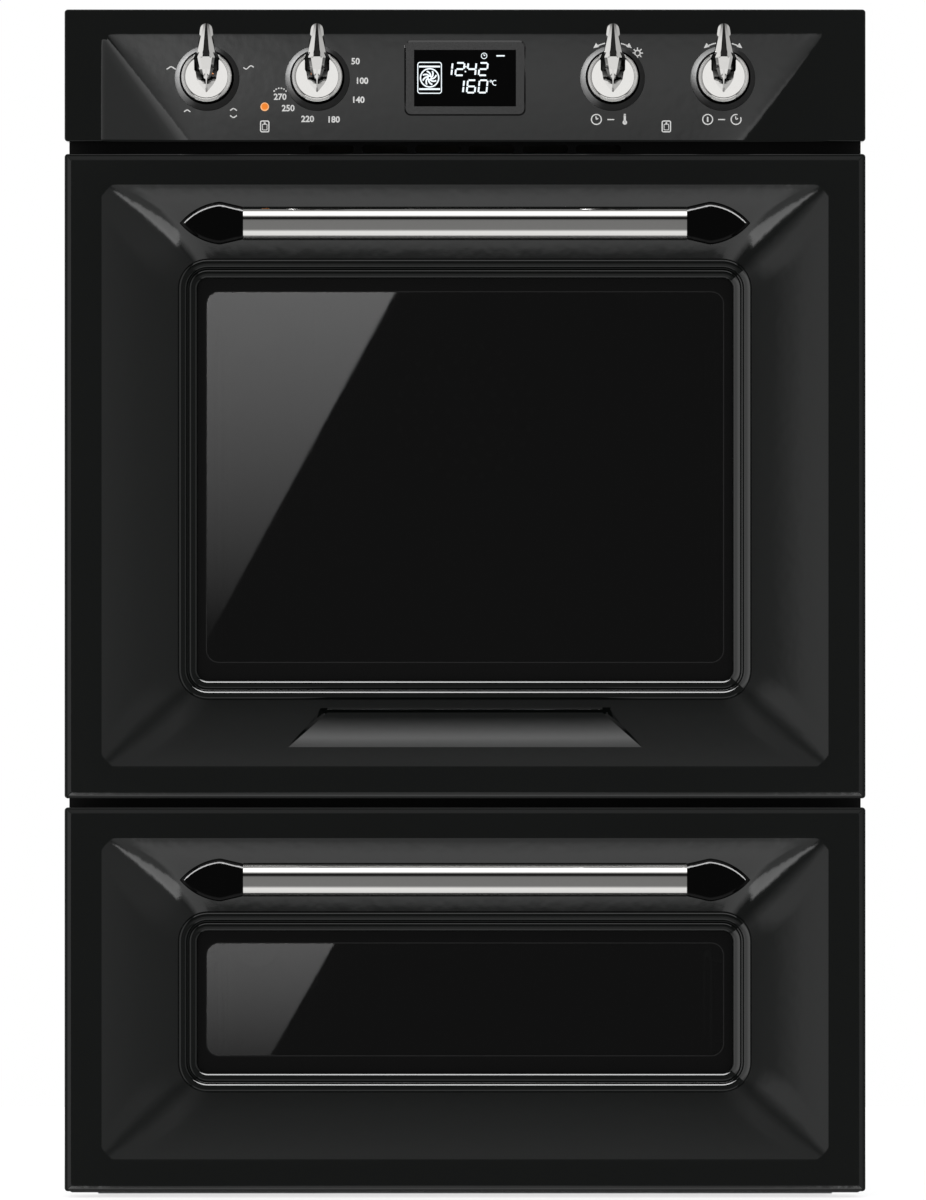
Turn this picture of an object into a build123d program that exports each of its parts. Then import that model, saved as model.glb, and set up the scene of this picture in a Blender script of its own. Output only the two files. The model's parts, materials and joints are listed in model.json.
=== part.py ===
"""Built-in double oven: a large fan oven above a small static oven, two drop-down doors, one control panel.

Frame: millimetres, +Z up, the doors face -Y, +X is on the right of someone facing the doors.
The origin is the centre of the chassis on the plane that it stands on.
Depths named "depth" or "back" below are measured backwards from the front faces of the doors.
"""
from build123d import *
import os
from math import atan2, cos, radians, sin

os.makedirs("parts", exist_ok=True)

# ------------------------------------------------------------------ driving dimensions
# Front
front_width = 597.0
base_clearance = 4.0  # lower door's bottom edge above the plane that the oven stands on
lower_door_height = 286.2
door_gap = 6.7
main_door_height = 480.4
panel_gap = 9.3
panel_height = 98.4
fascia_depth = 34.0  # door faces to the chassis front frame
door_depth = 29.0
skin = 1.2  # pressed fronts
front_corner_radius = 2.5
front_edge_radius = 1.2

# Picture-frame recess pressed into each door
border_side = 27.2
border_top = 22.5
border_bottom = 23.5
recess_depth = 10.0
recess_radius = 10.0
slope_side = 57.3
slope_top = 55.5
slope_bottom = 50.2
bead_radius = 22.0
bead_width = 14.5
bead_height = 3.2
bead_groove = 1.9
bead_round = 1.2

# Nameplate wedge on the main door's lower slope, left bare
wedge_bottom_width = 268.0
wedge_top_width = 216.0
wedge_height = 30.5
wedge_lift = 14.0  # recess edge to the wedge's lower edge
wedge_bevel = 4.5

# Vent slots in the top return of each door
door_vent_count = 9
door_vent_pitch = 46.0
door_vent_length = 34.0
door_vent_width = 4.0
door_vent_back = 17.5  # door face to the row of slots

# Glass
pane = 4.0
middle_pane = 3.0
pane_lap = 22.0  # outer pane past the opening of the bead
inner_pane_side = 28.0  # door side to the inner pane
inner_pane_bottom = 22.0
inner_pane_top = 14.0
pane_radius = 3.0

# Door rails
rail_width = 12.0
rail_wall = 1.5
rail_inner_radius = 1.0
skin_gap = 0.4

# Drop-down hinges
pivot_depth = 10.0
pivot_height = 15.0  # above the door's bottom edge
hinge_inset = 37.5  # door's side to the middle of an arm
arm_thickness = 5.0
arm_height = 8.0
arm_eye_radius = 5.5
pin_radius = 3.0
pin_head = 1.0  # pin past the outer face of each ear
pin_fit = 0.05
ear_thickness = 2.0
ear_gap = 0.5  # between the arm and each ear
ear_rim = 0.8  # ear past the arm's eye
ear_root = 12.0  # height of the ear where it leaves the case
case_foot = 4.0  # arm's eye to the foot of the case
case_height = 170.0
case_width = 18.0
heel_depth = 12.0  # how far back the door's bottom return runs
heel_height = 8.0
notch_gap = 1.0
arm_reach = 38.0  # arm behind the front frame
arm_slot_gap = 0.5
receiver_wall = 1.5
receiver_fit = 0.2

# Handles
handle_drop = 53.0  # door's top edge to the bar's axis
handle_inset = 86.5  # door's side to a cap's tip
bar_radius = 12.5
bar_wall = 1.5
bar_standoff = 38.0  # bar's axis in front of the door face
cap_length = 47.5  # tip to the bar's end
cap_peak = 30.6  # tip to the highest point
cap_leg = 23.0  # width of the leg on the door
cap_half_height = 16.3
cap_lead = 5.0  # the leaf is drawn this far past the bar's end and cut flat there
cap_end_half = 11.2  # half height where it is drawn from
cap_bow_radius = 45.0  # sides from the highest point to the tip
cap_peak_radius = 9.0
cap_tip_radius = 4.0
cap_edge_radius = 5.0
cap_sweep_radius = 45.0  # inner side, seen from above
cap_draft = 3.0  # degrees, narrower towards the door
cap_plug_length = 10.0

# Chassis
chassis_inset = 23.5  # front's side to the chassis side
chassis_depth = 540.0
chassis_top_gap = 15.0  # control panel's top edge to the chassis top
frame_inset = 2.5  # front's side to the front frame's side
frame_sheet = 2.0
frame_low = 1.6
frame_top_gap = 5.0  # control panel's top edge to the frame's
collar_depth = 15.0
collar_radius = 3.0
casing = 1.0
niche_screw_inset = 8.0
niche_screw_low = 140.0
niche_screw_pitch = 520.0
niche_screw_radius = 2.4

# Ribs, vents and flanges of the casing sheets
rib_rise = 2.0
side_rib_count = 4
side_rib_width = 16.0
side_rib_margin = 60.0  # sheet's edge to the rib's end
side_rib_end = 135.0  # chassis end to the outer ribs
back_rib_inset = 60.0
back_rib_width = 22.0
back_rib_margin = 60.0
base_rib_pitch = 300.0
base_rib_width = 26.0
base_rib_margin = 70.0
base_flange = 10.0
top_flange = 14.0
divider_flange = 20.0
divider_back_gap = 20.0
divider_hole_pitch = 220.0
divider_hole_radius = 18.0
side_vent_count = 9
side_vent_pitch = 14.0
side_vent_length = 34.0
side_vent_width = 4.0
side_vent_back = 110.0
side_vent_drop = 38.0
top_vent_count = 14
top_vent_pitch = 22.0
top_vent_rows = 60.0
top_vent_length = 42.0
top_vent_width = 5.0
top_vent_back = 90.0
louvre_pitch = 12.0
louvre_length = 130.0
louvre_width = 5.0
main_louvre_count = 9
lower_louvre_count = 5
screw_inset = 12.0
screw_margin = 20.0
screw_row_count = 4
screw_head_radius = 3.6
screw_head_height = 2.0

# Mains terminals in the back cover
terminal_inset = 125.0  # chassis side to the middle of the block
terminal_drop = 80.0  # chassis top to the middle of the block
terminal_width = 74.0
terminal_height = 46.0
terminal_depth = 26.0
terminal_lip = 5.0
terminal_lip_thickness = 2.0
terminal_radius = 4.0
terminal_fit = 0.2
cord_entry_radius = 7.0

# Cavities
cavity_width = 410.0
cavity_depth = 420.0
cavity_wall = 1.5
cavity_radius = 14.0
cavity_flange = 14.0
main_cavity_lift = 65.0  # door's bottom edge to the cavity floor
main_cavity_drop = 58.4  # door's top edge to the cavity roof
lower_cavity_lift = 53.0
lower_cavity_drop = 53.2
insulation = 20.0
insulation_front = 26.0  # front frame to the start of the blanket
blanket_gap = 1.0  # round the leads and the lamp holder
blanket_shaft_gap = 8.0  # round the fan's shaft
gasket_width = 8.0
gasket_gap = 0.3
gasket_margin = 5.0
gasket_round = 2.0

# Shelf ladders
ladder_wire = 2.5
ladder_inset = 23.0  # cavity wall to a ladder's rungs
ladder_step = 4.0  # rungs to the uprights behind them
main_rung_count = 5
lower_rung_count = 2
ladder_front = 40.0  # mouth to the rungs' front ends
ladder_back = 50.0  # rungs' back ends to the back wall
upright_inset = 39.6
ladder_lift = 34.0  # cavity floor to the uprights' feet
main_ladder_drop = 70.0
lower_ladder_drop = 50.0
rung_margin = 8.0
wall_pin_margin = 14.0

# Fan compartment
fan_drop = 127.0  # cavity roof to the fan's axis
fan_radius = 66.0
fan_hub_radius = 11.0
fan_blade_count = 14
fan_blade_depth = 17.0
fan_blade_turn = 22.0
fan_blade_root = 18.0  # hub to the blades
fan_blade_rim = 4.0  # blades to the plate's edge
fan_clearance = 3.0
fan_plate = 1.2
fan_cover_depth = 36.0
fan_cover_half = 118.0
fan_cover_radius = 24.0
fan_cover_sheet = 1.2
fan_cover_round = 5.0
fan_cover_step = 4.0
perforation_radius = 2.4
perforation_ring_count = 4
perforation_pitch = 13.0
cover_slot_count = 5
cover_slot_pitch = 40.0
cover_slot_length = 30.0
cover_slot_width = 12.0
boss_ring_radius = 76.0
boss_ring_width = 5.0
boss_ring_height = 2.0
fan_shaft_radius = 4.0
shaft_clearance = 2.0
shaft_end_gap = 1.0
fan_motor_radius = 34.0
fan_motor_length = 52.0
fan_motor_round = 4.0
motor_nose_radius = 13.8
motor_plate = 2.0
motor_plate_half = 44.2
motor_plate_radius = 12.0
ring_element_radius = 88.0
element_radius = 3.3
ring_lead_angle = 10.0
lead_clearance = 0.3

# Grill elements and oven lamps
grill_drop = 22.0
grill_inset = 45.0
grill_leg_count = 4
grill_bend = 22.0
lead_tail = 12.0
grill_front = 90.0
grill_cover_gap = 34.0  # grill's back bends to the fan cover
lamp_inset = 42.0
oven_lamp_drop = 64.0  # cavity roof to the lamp's axis
dome_radius = 20.0
dome_height = 12.0
dome_round = 9.6
dome_wall = 3.0
holder_radius = 16.0
holder_wall = 4.0

# Cooling fan
blower_radius = 28.0
blower_blade_count = 20
blower_blade_width = 5.5
blower_blade_inset = 3.2
blower_half_length = 120.0
blower_gap = 4.0
blower_y = 40.0
blower_rise = 44.0  # insulation top to the blower's axis
blower_intake_margin = 6.0
blower_motor_radius = 26.0
blower_motor_length = 38.0
blower_motor_round = 3.0
blower_shaft_end = 2.0
outlet_count = 6
outlet_web = 6.0
outlet_margin = 1.5

# Control panel
panel_border_top = 17.6
panel_lean_depth = 10.0
panel_slope_side = 56.0
panel_recess_radius = 8.0
panel_inner_radius = 24.0
panel_run_out = 60.0  # the dish is drawn on past the panel's open lower edge
knob_drop = 33.3  # recess top to the knob axes
knob_inset = 106.2  # panel's side to the outer knobs
knob_pitch = 82.3
disc_radius = 18.6
disc_thickness = 4.2
disc_rim = 1.7
disc_rim_height = 1.1
disc_chamfer = 0.5
ring_foot_radius = 24.4
ring_foot_flare = 0.6
ring_waist = 0.8
ring_nose_radius = 20.2
ring_nose_chamfer = 1.5
ring_nose = 12.0  # ring's nose in front of the door faces
knob_gap = 3.0  # ring's nose to the disc
lever_tip = 39.1  # axis up to the lever's end
lever_toe = 11.5  # axis down to its point on the disc
lever_crest = 14.2  # axis up to its ridge
lever_half_width = 6.4
lever_rise = 16.4  # ridge in front of the disc
lever_toe_rise = 1.4
lever_tip_rise = 10.4
lever_bevel = 2.2  # outer edge behind the front facet
lever_end_radius = 4.5
hub_radius = 7.0
hub_start = 1.0  # hub's back end in front of the door faces
shaft_tip = 16.5  # shaft's end in front of the door faces
ring_bore = 9.0
shaft_radius = 3.0
shaft_hole = 5.5
push_travel = 2.0
display_width = 90.5
display_height = 56.3
display_radius = 5.0
display_rise = 2.0
display_chamfer = 1.2
display_module_depth = 6.0  # module behind the front frame
module_inset = 2.0
screen_width = 76.0
screen_height = 42.3
screen_drop = 1.0
screen_slot_gap = 1.0
screen_frame_gap = 3.0
lamp_offset = 39.4  # inner knob to the indicator lamp
lamp_drop = 21.4  # below the knob axes
lamp_radius = 3.35
lamp_fit = 0.1
lamp_rise = 1.2
lamp_round = 1.0
lamp_frame_gap = 1.0
switch_size = 38.0
switch_depth = 26.0
switch_radius = 4.0
shaft_seat = 18.2  # shaft behind the switch's front
bush_radius = 4.8
bush_length = 8.0
bush_fit = 0.2
rotor_start = 4.0  # switch's front to the rotor
rotor_radius = 8.0
rotor_length = 6.0
rotor_fit = 0.05

# Power board on the main blanket
board_inset = 85.0  # chassis side to the middle of the board
board_y = -60.0
board_width = 60.0
board_length = 130.0
board_thickness = 1.6
board_rise = 8.0
board_post_radius = 3.0
board_post_inset = 5.0
board_parts_height = 16.0
transformer_width = 34.0
transformer_length = 30.0
relay_width = 12.0
relay_length = 18.0
relay_pitch_x = 18.0
relay_pitch_y = 24.0
board_gap = 0.2  # display glass to its module

# ------------------------------------------------------------------ derived places
frame_y = -chassis_depth / 2
front_y = frame_y - fascia_depth
rear_y = chassis_depth / 2
sheet_front = frame_y + frame_sheet + collar_depth
sheet_back = rear_y - casing

lower_low = base_clearance
lower_high = lower_low + lower_door_height
main_low = lower_high + door_gap
main_high = main_low + main_door_height
panel_low = main_high + panel_gap
panel_high = panel_low + panel_height
panel_recess_top = panel_high - panel_border_top
knob_z = panel_recess_top - knob_drop
frame_high = panel_high - frame_top_gap

chassis_width = front_width - 2 * chassis_inset
chassis_height = panel_high - chassis_top_gap
frame_width = front_width - 2 * frame_inset
niche_screw_x = frame_width / 2 - niche_screw_inset
hinge_x = front_width / 2 - hinge_inset
cap_tip_x = front_width / 2 - handle_inset
cap_peak_x = cap_tip_x - cap_peak
cap_leg_x = cap_tip_x - cap_leg
bar_half_length = cap_tip_x - cap_length
knob_outer_x = front_width / 2 - knob_inset
knob_inner_x = knob_outer_x - knob_pitch
knob_xs = (-knob_outer_x, -knob_inner_x, knob_inner_x, knob_outer_x)
lamp_x = -(knob_inner_x + lamp_offset)
rail_front = recess_depth + skin + pane
rail_back = door_depth - pane
cavity_front = fascia_depth + frame_sheet
cavity_back = cavity_front + cavity_depth


def face_at(depth):
    """A plane parallel to the doors, depth behind their front faces, looking out of the oven."""
    return Plane.XZ.offset(-(front_y + depth))


def across(x):
    """A plane across the oven at x, with local x along +Y and local y along +Z."""
    return Plane.YZ.offset(x)


class Outline:
    """A rounded rectangle in the plane of the doors, held by its four sides."""

    def __init__(self, half_width, low, high, radius):
        self.half_width = half_width
        self.low = low
        self.high = high
        self.radius = radius

    def inset(self, side, bottom, top, radius):
        return Outline(self.half_width - side, self.low + bottom, self.high - top, radius)

    def offset(self, amount):
        sharpest = 0.5
        return self.inset(-amount, -amount, -amount, max(self.radius + amount, sharpest))

    def draw(self, mode=Mode.ADD):
        with Locations((0, (self.low + self.high) / 2)):
            RectangleRounded(2 * self.half_width, self.high - self.low, self.radius, mode=mode)


class Door:
    """One drop-down door: its nested outlines, its hinge axis and its handle."""

    def __init__(self, low, high):
        self.low = low
        self.high = high
        self.outline = Outline(front_width / 2, low, high, front_corner_radius)
        self.recess = self.outline.inset(border_side, border_bottom, border_top, recess_radius)
        self.bead = self.recess.inset(slope_side, slope_bottom, slope_top, bead_radius)
        self.opening = self.bead.offset(-bead_width)
        self.pivot_z = low + pivot_height
        self.bar_z = high - handle_drop
        self.pane_low = low + inner_pane_bottom
        self.pane_high = high - inner_pane_top

    def slope_back(self, z):
        """Depth of the recess surface at height z, on the middle of the door."""
        if z > self.bead.high:
            return recess_depth * (self.recess.high - z) / slope_top
        return recess_depth * (z - self.recess.low) / slope_bottom


class Cavity:
    """One oven cavity: its mouth, its inner box and the pieces on its back wall."""

    def __init__(self, low, high):
        self.low = low
        self.high = high
        self.middle = (low + high) / 2
        self.mouth = Outline(cavity_width / 2, low, high, cavity_radius)
        self.outside = self.mouth.offset(cavity_wall)
        self.grill_z = high - grill_drop
        self.lamp_centre = (lamp_inset - cavity_width / 2, high - oven_lamp_drop)


main_door = Door(main_low, main_high)
lower_door = Door(lower_low, lower_high)
main_oven = Cavity(main_low + main_cavity_lift, main_high - main_cavity_drop)
lower_oven = Cavity(lower_low + lower_cavity_lift, lower_high - lower_cavity_drop)
doors = (main_door, lower_door)
ovens = (main_oven, lower_oven)

fan_z = main_oven.high - fan_drop
insulation_top = main_oven.outside.high + insulation
divider_z = (lower_oven.outside.high + main_oven.outside.low) / 2
grill_x = cavity_width / 2 - grill_inset


def slab(outline, near, far):
    """A flat plate of an outline's shape, from depth near to depth far."""
    with BuildPart() as plate:
        with BuildSketch(face_at(far)):
            outline.draw()
        extrude(amount=far - near)
    return plate.part


def shell_box(outline, wall, near, far, floor):
    """An open-fronted box of sheet: its walls run back from depth near, its back ends at depth far."""
    with BuildPart() as box:
        with BuildSketch(face_at(far)):
            outline.offset(wall).draw()
        extrude(amount=far - near)
        with BuildSketch(face_at(far - floor)):
            outline.draw()
        extrude(amount=far - floor - near, mode=Mode.SUBTRACT)
    return box.part


# ------------------------------------------------------------------ pressed fronts
def dished_core(pocket, outer, inner, back, depth):
    """What is taken out behind a pressed front: a pocket with the dish left standing in it."""
    with BuildPart() as core:
        with BuildSketch(face_at(back)):
            pocket.draw()
        extrude(amount=back - skin)
        with BuildSketch(face_at(skin)):
            outer.draw()
        with BuildSketch(face_at(depth + skin)):
            inner.draw()
        loft(ruled=True, mode=Mode.SUBTRACT)
    return core.part


def pressed_front(outline, outer, inner, back, depth):
    """A sheet front with returned sides and a dished recess from outer, at the face, to inner."""
    core = dished_core(outline.offset(-skin), outer, inner, back, depth)
    with BuildPart() as front:
        with BuildSketch(face_at(back)):
            outline.draw()
        extrude(amount=back)
        fillet(front.faces().sort_by(Axis.Y)[0].edges(), front_edge_radius)
        add(core, mode=Mode.SUBTRACT)
        with BuildSketch(face_at(0)):
            outer.draw()
        with BuildSketch(face_at(depth)):
            inner.draw()
        loft(ruled=True, mode=Mode.SUBTRACT)
    return front.part


def make_door_front(door, wedge):
    """The enamelled front of a door, with its window opening, heel step, hinge notches and vents."""
    with BuildPart() as front:
        add(pressed_front(door.outline, door.recess, door.bead, door_depth, recess_depth))
        with BuildSketch(face_at(door_depth)):
            door.opening.draw()
        extrude(amount=door_depth, mode=Mode.SUBTRACT)
        # The bottom return stops short so that it clears the chassis as the door drops.
        with BuildSketch(face_at(door_depth)):
            with Locations((0, door.low)):
                Rectangle(2 * front_width, 2 * heel_height)
        extrude(amount=door_depth - heel_depth, mode=Mode.SUBTRACT)
        # A notch lets each hinge arm swing down past the bottom return.
        with BuildSketch(face_at(heel_depth)):
            with Locations((-hinge_x, door.low), (hinge_x, door.low)):
                Rectangle(case_width, 2 * heel_height)
        extrude(amount=heel_depth - (pivot_depth - arm_eye_radius - notch_gap), mode=Mode.SUBTRACT)
        # Warm air leaves through a row of slots in the top return.
        with BuildSketch(Plane.XY.offset(door.high)):
            with Locations((0, front_y + door_vent_back)):
                with GridLocations(door_vent_pitch, 0, door_vent_count, 1):
                    SlotOverall(door_vent_length, door_vent_width)
        extrude(amount=-2 * skin, mode=Mode.SUBTRACT)
        if wedge:
            wedge_low = door.recess.low + wedge_lift
            wedge_high = wedge_low + wedge_height
            flush = door.slope_back(wedge_low)
            rooted = door.slope_back(wedge_high) + skin / 2
            for depth, bevel in ((flush, wedge_bevel), (rooted, 0)):
                with BuildSketch(face_at(depth)):
                    with BuildLine():
                        Polyline(
                            (-wedge_bottom_width / 2 + bevel / 2, wedge_low),
                            (wedge_bottom_width / 2 - bevel / 2, wedge_low),
                            (wedge_top_width / 2 - bevel / 2, wedge_high - bevel),
                            (-wedge_top_width / 2 + bevel / 2, wedge_high - bevel),
                            close=True,
                        )
                    make_face()
            loft(ruled=True)
    return front.part


def make_bead(door):
    """The double-ridged frame that trims the window opening."""
    with BuildPart() as bead:
        with BuildSketch(face_at(recess_depth)):
            door.bead.draw()
            door.opening.draw(mode=Mode.SUBTRACT)
        extrude(amount=bead_height)
        with BuildSketch(face_at(recess_depth - bead_height)):
            door.bead.offset(-(bead_width - bead_groove) / 2).draw()
            door.bead.offset(-(bead_width + bead_groove) / 2).draw(mode=Mode.SUBTRACT)
        extrude(amount=-bead_height / 2, mode=Mode.SUBTRACT)
        ridges = bead.faces().filter_by(Axis.Y).group_by(Axis.Y)[0]
        fillet(ridges.edges(), bead_round)
    return bead.part


# ------------------------------------------------------------------ door pieces
def make_inner_pane(door):
    """The glass that faces the cavity."""
    half = front_width / 2 - inner_pane_side
    return slab(Outline(half, door.pane_low, door.pane_high, pane_radius), rail_back, door_depth)


def make_middle_pane(door):
    """The glass between the outer and the inner pane, held by the rails."""
    outline = Outline(
        hinge_x - case_width / 2 - skin_gap,
        door.low + pivot_height + rail_width + heel_height + 2 * skin_gap,
        door.high - rail_width - pane - skin - 2 * skin_gap,
        pane_radius,
    )
    far = (rail_front + rail_back + middle_pane) / 2
    return slab(outline, far - middle_pane, far)


def make_rails(door, far):
    """Side channels and top and bottom bars that carry the panes inside the front."""
    half = front_width / 2 - skin - skin_gap
    low = door.low + heel_height + skin_gap
    high = door.high - skin - skin_gap
    rim = Outline(half, low, high, front_corner_radius)
    lap = Outline(front_width / 2 - inner_pane_side, low, high, rail_inner_radius).inset(
        rail_width, pivot_height + rail_width, rail_width + pane, pane_radius
    )
    with BuildPart() as rails:
        with BuildSketch(face_at(far)):
            rim.draw()
            lap.draw(mode=Mode.SUBTRACT)
        extrude(amount=far - rail_front)
        # The channels are hollow towards the outer pane.
        with BuildSketch(face_at(far - rail_wall)):
            rim.offset(-rail_wall).draw()
            lap.offset(rail_wall).draw(mode=Mode.SUBTRACT)
        extrude(amount=far, mode=Mode.SUBTRACT)
        # Each hinge case has its own bay in the side channels.
        bay_z = door.pivot_z + case_height / 2 - heel_height
        with BuildSketch(face_at(far)):
            with Locations((-hinge_x, bay_z), (hinge_x, bay_z)):
                Rectangle(case_width + 2 * skin_gap, case_height + 2 * heel_height)
        extrude(amount=far - rail_front + skin, mode=Mode.SUBTRACT)
    return rails.part


def make_hinge_cases(door):
    """Two folded cases in the side channels, with ears that turn on the chassis arms' pins."""
    case_front = recess_depth + skin + skin_gap
    ear_inner = arm_thickness / 2 + ear_gap
    ear_radius = arm_eye_radius + ear_rim
    foot = door.pivot_z + arm_eye_radius + case_foot
    head = door.pivot_z + case_height
    with BuildPart() as cases:
        for x in (-hinge_x, hinge_x):
            with BuildSketch(face_at(rail_back)):
                with Locations((x, (foot + head) / 2)):
                    Rectangle(case_width, head - foot)
            extrude(amount=rail_back - case_front)
            with BuildSketch(face_at(rail_back)):
                with Locations((x, (foot + head) / 2)):
                    Rectangle(case_width - 2 * rail_wall, head - foot - 2 * rail_wall)
            extrude(amount=rail_back - case_front - rail_wall, mode=Mode.SUBTRACT)
            for lean in (-1, 1):
                with BuildSketch(across(x + lean * (ear_inner + ear_thickness / 2))):
                    with Locations((front_y + pivot_depth, door.pivot_z)):
                        Circle(ear_radius)
                    with BuildLine():
                        Polyline(
                            (front_y + pivot_depth - ear_radius, door.pivot_z),
                            (front_y + pivot_depth + ear_radius, door.pivot_z),
                            (front_y + rail_back, foot),
                            (front_y + rail_back, foot + ear_root),
                            (front_y + case_front, foot + ear_root),
                            close=True,
                        )
                    make_face()
                    with Locations((front_y + pivot_depth, door.pivot_z)):
                        Circle(pin_radius + pin_fit, mode=Mode.SUBTRACT)
                extrude(amount=ear_thickness / 2, both=True)
    return cases.part


def make_hinge_arms(door):
    """Two chassis arms of one door, each with its riveted pin through the eye."""
    pin_half = arm_thickness / 2 + ear_gap + ear_thickness + pin_head
    arm_end = fascia_depth + arm_reach
    with BuildPart() as arms:
        for x in (-hinge_x, hinge_x):
            with BuildSketch(across(x)):
                with Locations((front_y + pivot_depth, door.pivot_z)):
                    Circle(arm_eye_radius)
                with Locations((front_y + (pivot_depth + arm_end) / 2, door.pivot_z)):
                    Rectangle(arm_end - pivot_depth, arm_height)
            extrude(amount=arm_thickness / 2, both=True)
            with BuildSketch(across(x)):
                with Locations((front_y + pivot_depth, door.pivot_z)):
                    Circle(pin_radius)
            extrude(amount=pin_half, both=True)
    return arms.part


def make_receivers(door):
    """Folded sockets behind the front frame that hold the hinge arms."""
    width = arm_thickness + 2 * receiver_fit
    height = arm_height + 2 * receiver_fit
    with BuildPart() as sockets:
        for x in (-hinge_x, hinge_x):
            with BuildSketch(face_at(cavity_front)):
                with Locations((x, door.pivot_z)):
                    Rectangle(width + 2 * receiver_wall, height + 2 * receiver_wall)
            extrude(amount=-(arm_reach - frame_sheet))
            with BuildSketch(face_at(cavity_front)):
                with Locations((x, door.pivot_z)):
                    Rectangle(width, height)
            extrude(amount=-(arm_reach - frame_sheet), mode=Mode.SUBTRACT)
    return sockets.part


def leaning_plane(top_z, run, depth):
    """The plane of a face that starts at the door faces at top_z and lies depth deeper after run."""
    return Plane(origin=(0, front_y, top_z), x_dir=(1, 0, 0), z_dir=(0, -run, -depth))


def make_handle_bar(door):
    with BuildPart() as bar:
        with BuildSketch(across(-bar_half_length)):
            with Locations((front_y - bar_standoff, door.bar_z)):
                Circle(bar_radius)
                Circle(bar_radius - bar_wall, mode=Mode.SUBTRACT)
        extrude(amount=2 * bar_half_length)
    return bar.part


def make_handle_caps(door):
    """Two leaf-shaped brackets with a rounded edge, which butt on the bar and sweep back to the door."""
    front = bar_standoff + bar_radius
    foot_y = front_y + recess_depth
    tip = (cap_tip_x, door.bar_z)
    with BuildPart() as cap:
        with BuildSketch(face_at(-front)) as leaf:
            with BuildLine():
                for side in (1, -1):
                    root = (bar_half_length - cap_lead, door.bar_z + side * cap_end_half)
                    peak = (cap_peak_x, door.bar_z + side * cap_half_height)
                    Line(root, peak)
                    RadiusArc(peak, tip, side * cap_bow_radius)
                low_root = (bar_half_length - cap_lead, door.bar_z - cap_end_half)
                Line(low_root, (bar_half_length - cap_lead, door.bar_z + cap_end_half))
            make_face()
            corners = leaf.vertices().sort_by(Axis.X)
            fillet(corners[2:4], cap_peak_radius)
            fillet(corners[4], cap_tip_radius)
        extrude(amount=-(front + recess_depth), taper=cap_draft)
        rim = cap.faces().sort_by(Axis.Y)[0].edges().sort_by(Axis.X)[1:]
        fillet(rim, cap_edge_radius)
        # Seen from above, the inner side sweeps from behind the bar to the leg on the door.
        with BuildSketch(Plane.XY.offset(door.bar_z - cap_half_height)):
            with BuildLine():
                Polyline(
                    (bar_half_length, front_y - bar_standoff + bar_radius),
                    (bar_half_length, front_y - front),
                    (cap_tip_x, front_y - front),
                    (cap_tip_x, foot_y),
                    (cap_leg_x, foot_y),
                )
                RadiusArc(
                    (cap_leg_x, foot_y),
                    (bar_half_length, front_y - bar_standoff + bar_radius),
                    cap_sweep_radius,
                )
            make_face()
        extrude(amount=2 * cap_half_height, mode=Mode.INTERSECT)
        slope = leaning_plane(door.recess.high, slope_top, recess_depth)
        split(bisect_by=slope, keep=Keep.TOP)
        # A plug seats the cap in the end of the bar.
        with BuildSketch(across(bar_half_length)):
            with Locations((front_y - bar_standoff, door.bar_z)):
                Circle(bar_radius - bar_wall)
        extrude(amount=-cap_plug_length)
        mirror(about=Plane.YZ)
    return cap.part


# ------------------------------------------------------------------ chassis sheet metal
def make_front_frame():
    """The flat frame that the cavities, hinges and panels hang on, with its collar."""
    plate = Outline(frame_width / 2, frame_low, frame_high, front_corner_radius)
    outlet_pitch = 2 * blower_half_length / outlet_count
    collar = Outline(chassis_width / 2, frame_low + casing, chassis_height, collar_radius)
    with BuildPart() as frame:
        with BuildSketch(face_at(cavity_front)):
            plate.draw()
        extrude(amount=frame_sheet)
        with BuildSketch(face_at(cavity_front)):
            collar.draw()
            collar.offset(-frame_sheet).draw(mode=Mode.SUBTRACT)
        extrude(amount=-collar_depth)
        with BuildSketch(face_at(cavity_front)):
            for oven in ovens:
                oven.mouth.draw()
            for door in doors:
                with Locations((-hinge_x, door.pivot_z), (hinge_x, door.pivot_z)):
                    Rectangle(arm_thickness + 2 * arm_slot_gap, arm_height + 2 * arm_slot_gap)
            # Cooling air leaves between the control panel and the main door.
            with Locations((0, main_high + panel_gap / 2)):
                with GridLocations(outlet_pitch, 0, outlet_count, 1):
                    SlotOverall(outlet_pitch - outlet_web, panel_gap - 2 * outlet_margin)
            with Locations((0, niche_screw_low + niche_screw_pitch / 2)):
                with GridLocations(2 * niche_screw_x, niche_screw_pitch, 2, 2):
                    Circle(niche_screw_radius)
            with Locations(*((x, knob_z) for x in knob_xs)):
                Circle(bush_radius + bush_fit)
            with Locations((0, knob_z)):
                Rectangle(screen_width + 2 * screen_frame_gap, screen_height + 2 * screen_frame_gap)
            with Locations((lamp_x, knob_z - lamp_drop)):
                Circle(lamp_radius + lamp_frame_gap)
        extrude(amount=frame_sheet, mode=Mode.SUBTRACT)
    return frame.part


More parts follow.
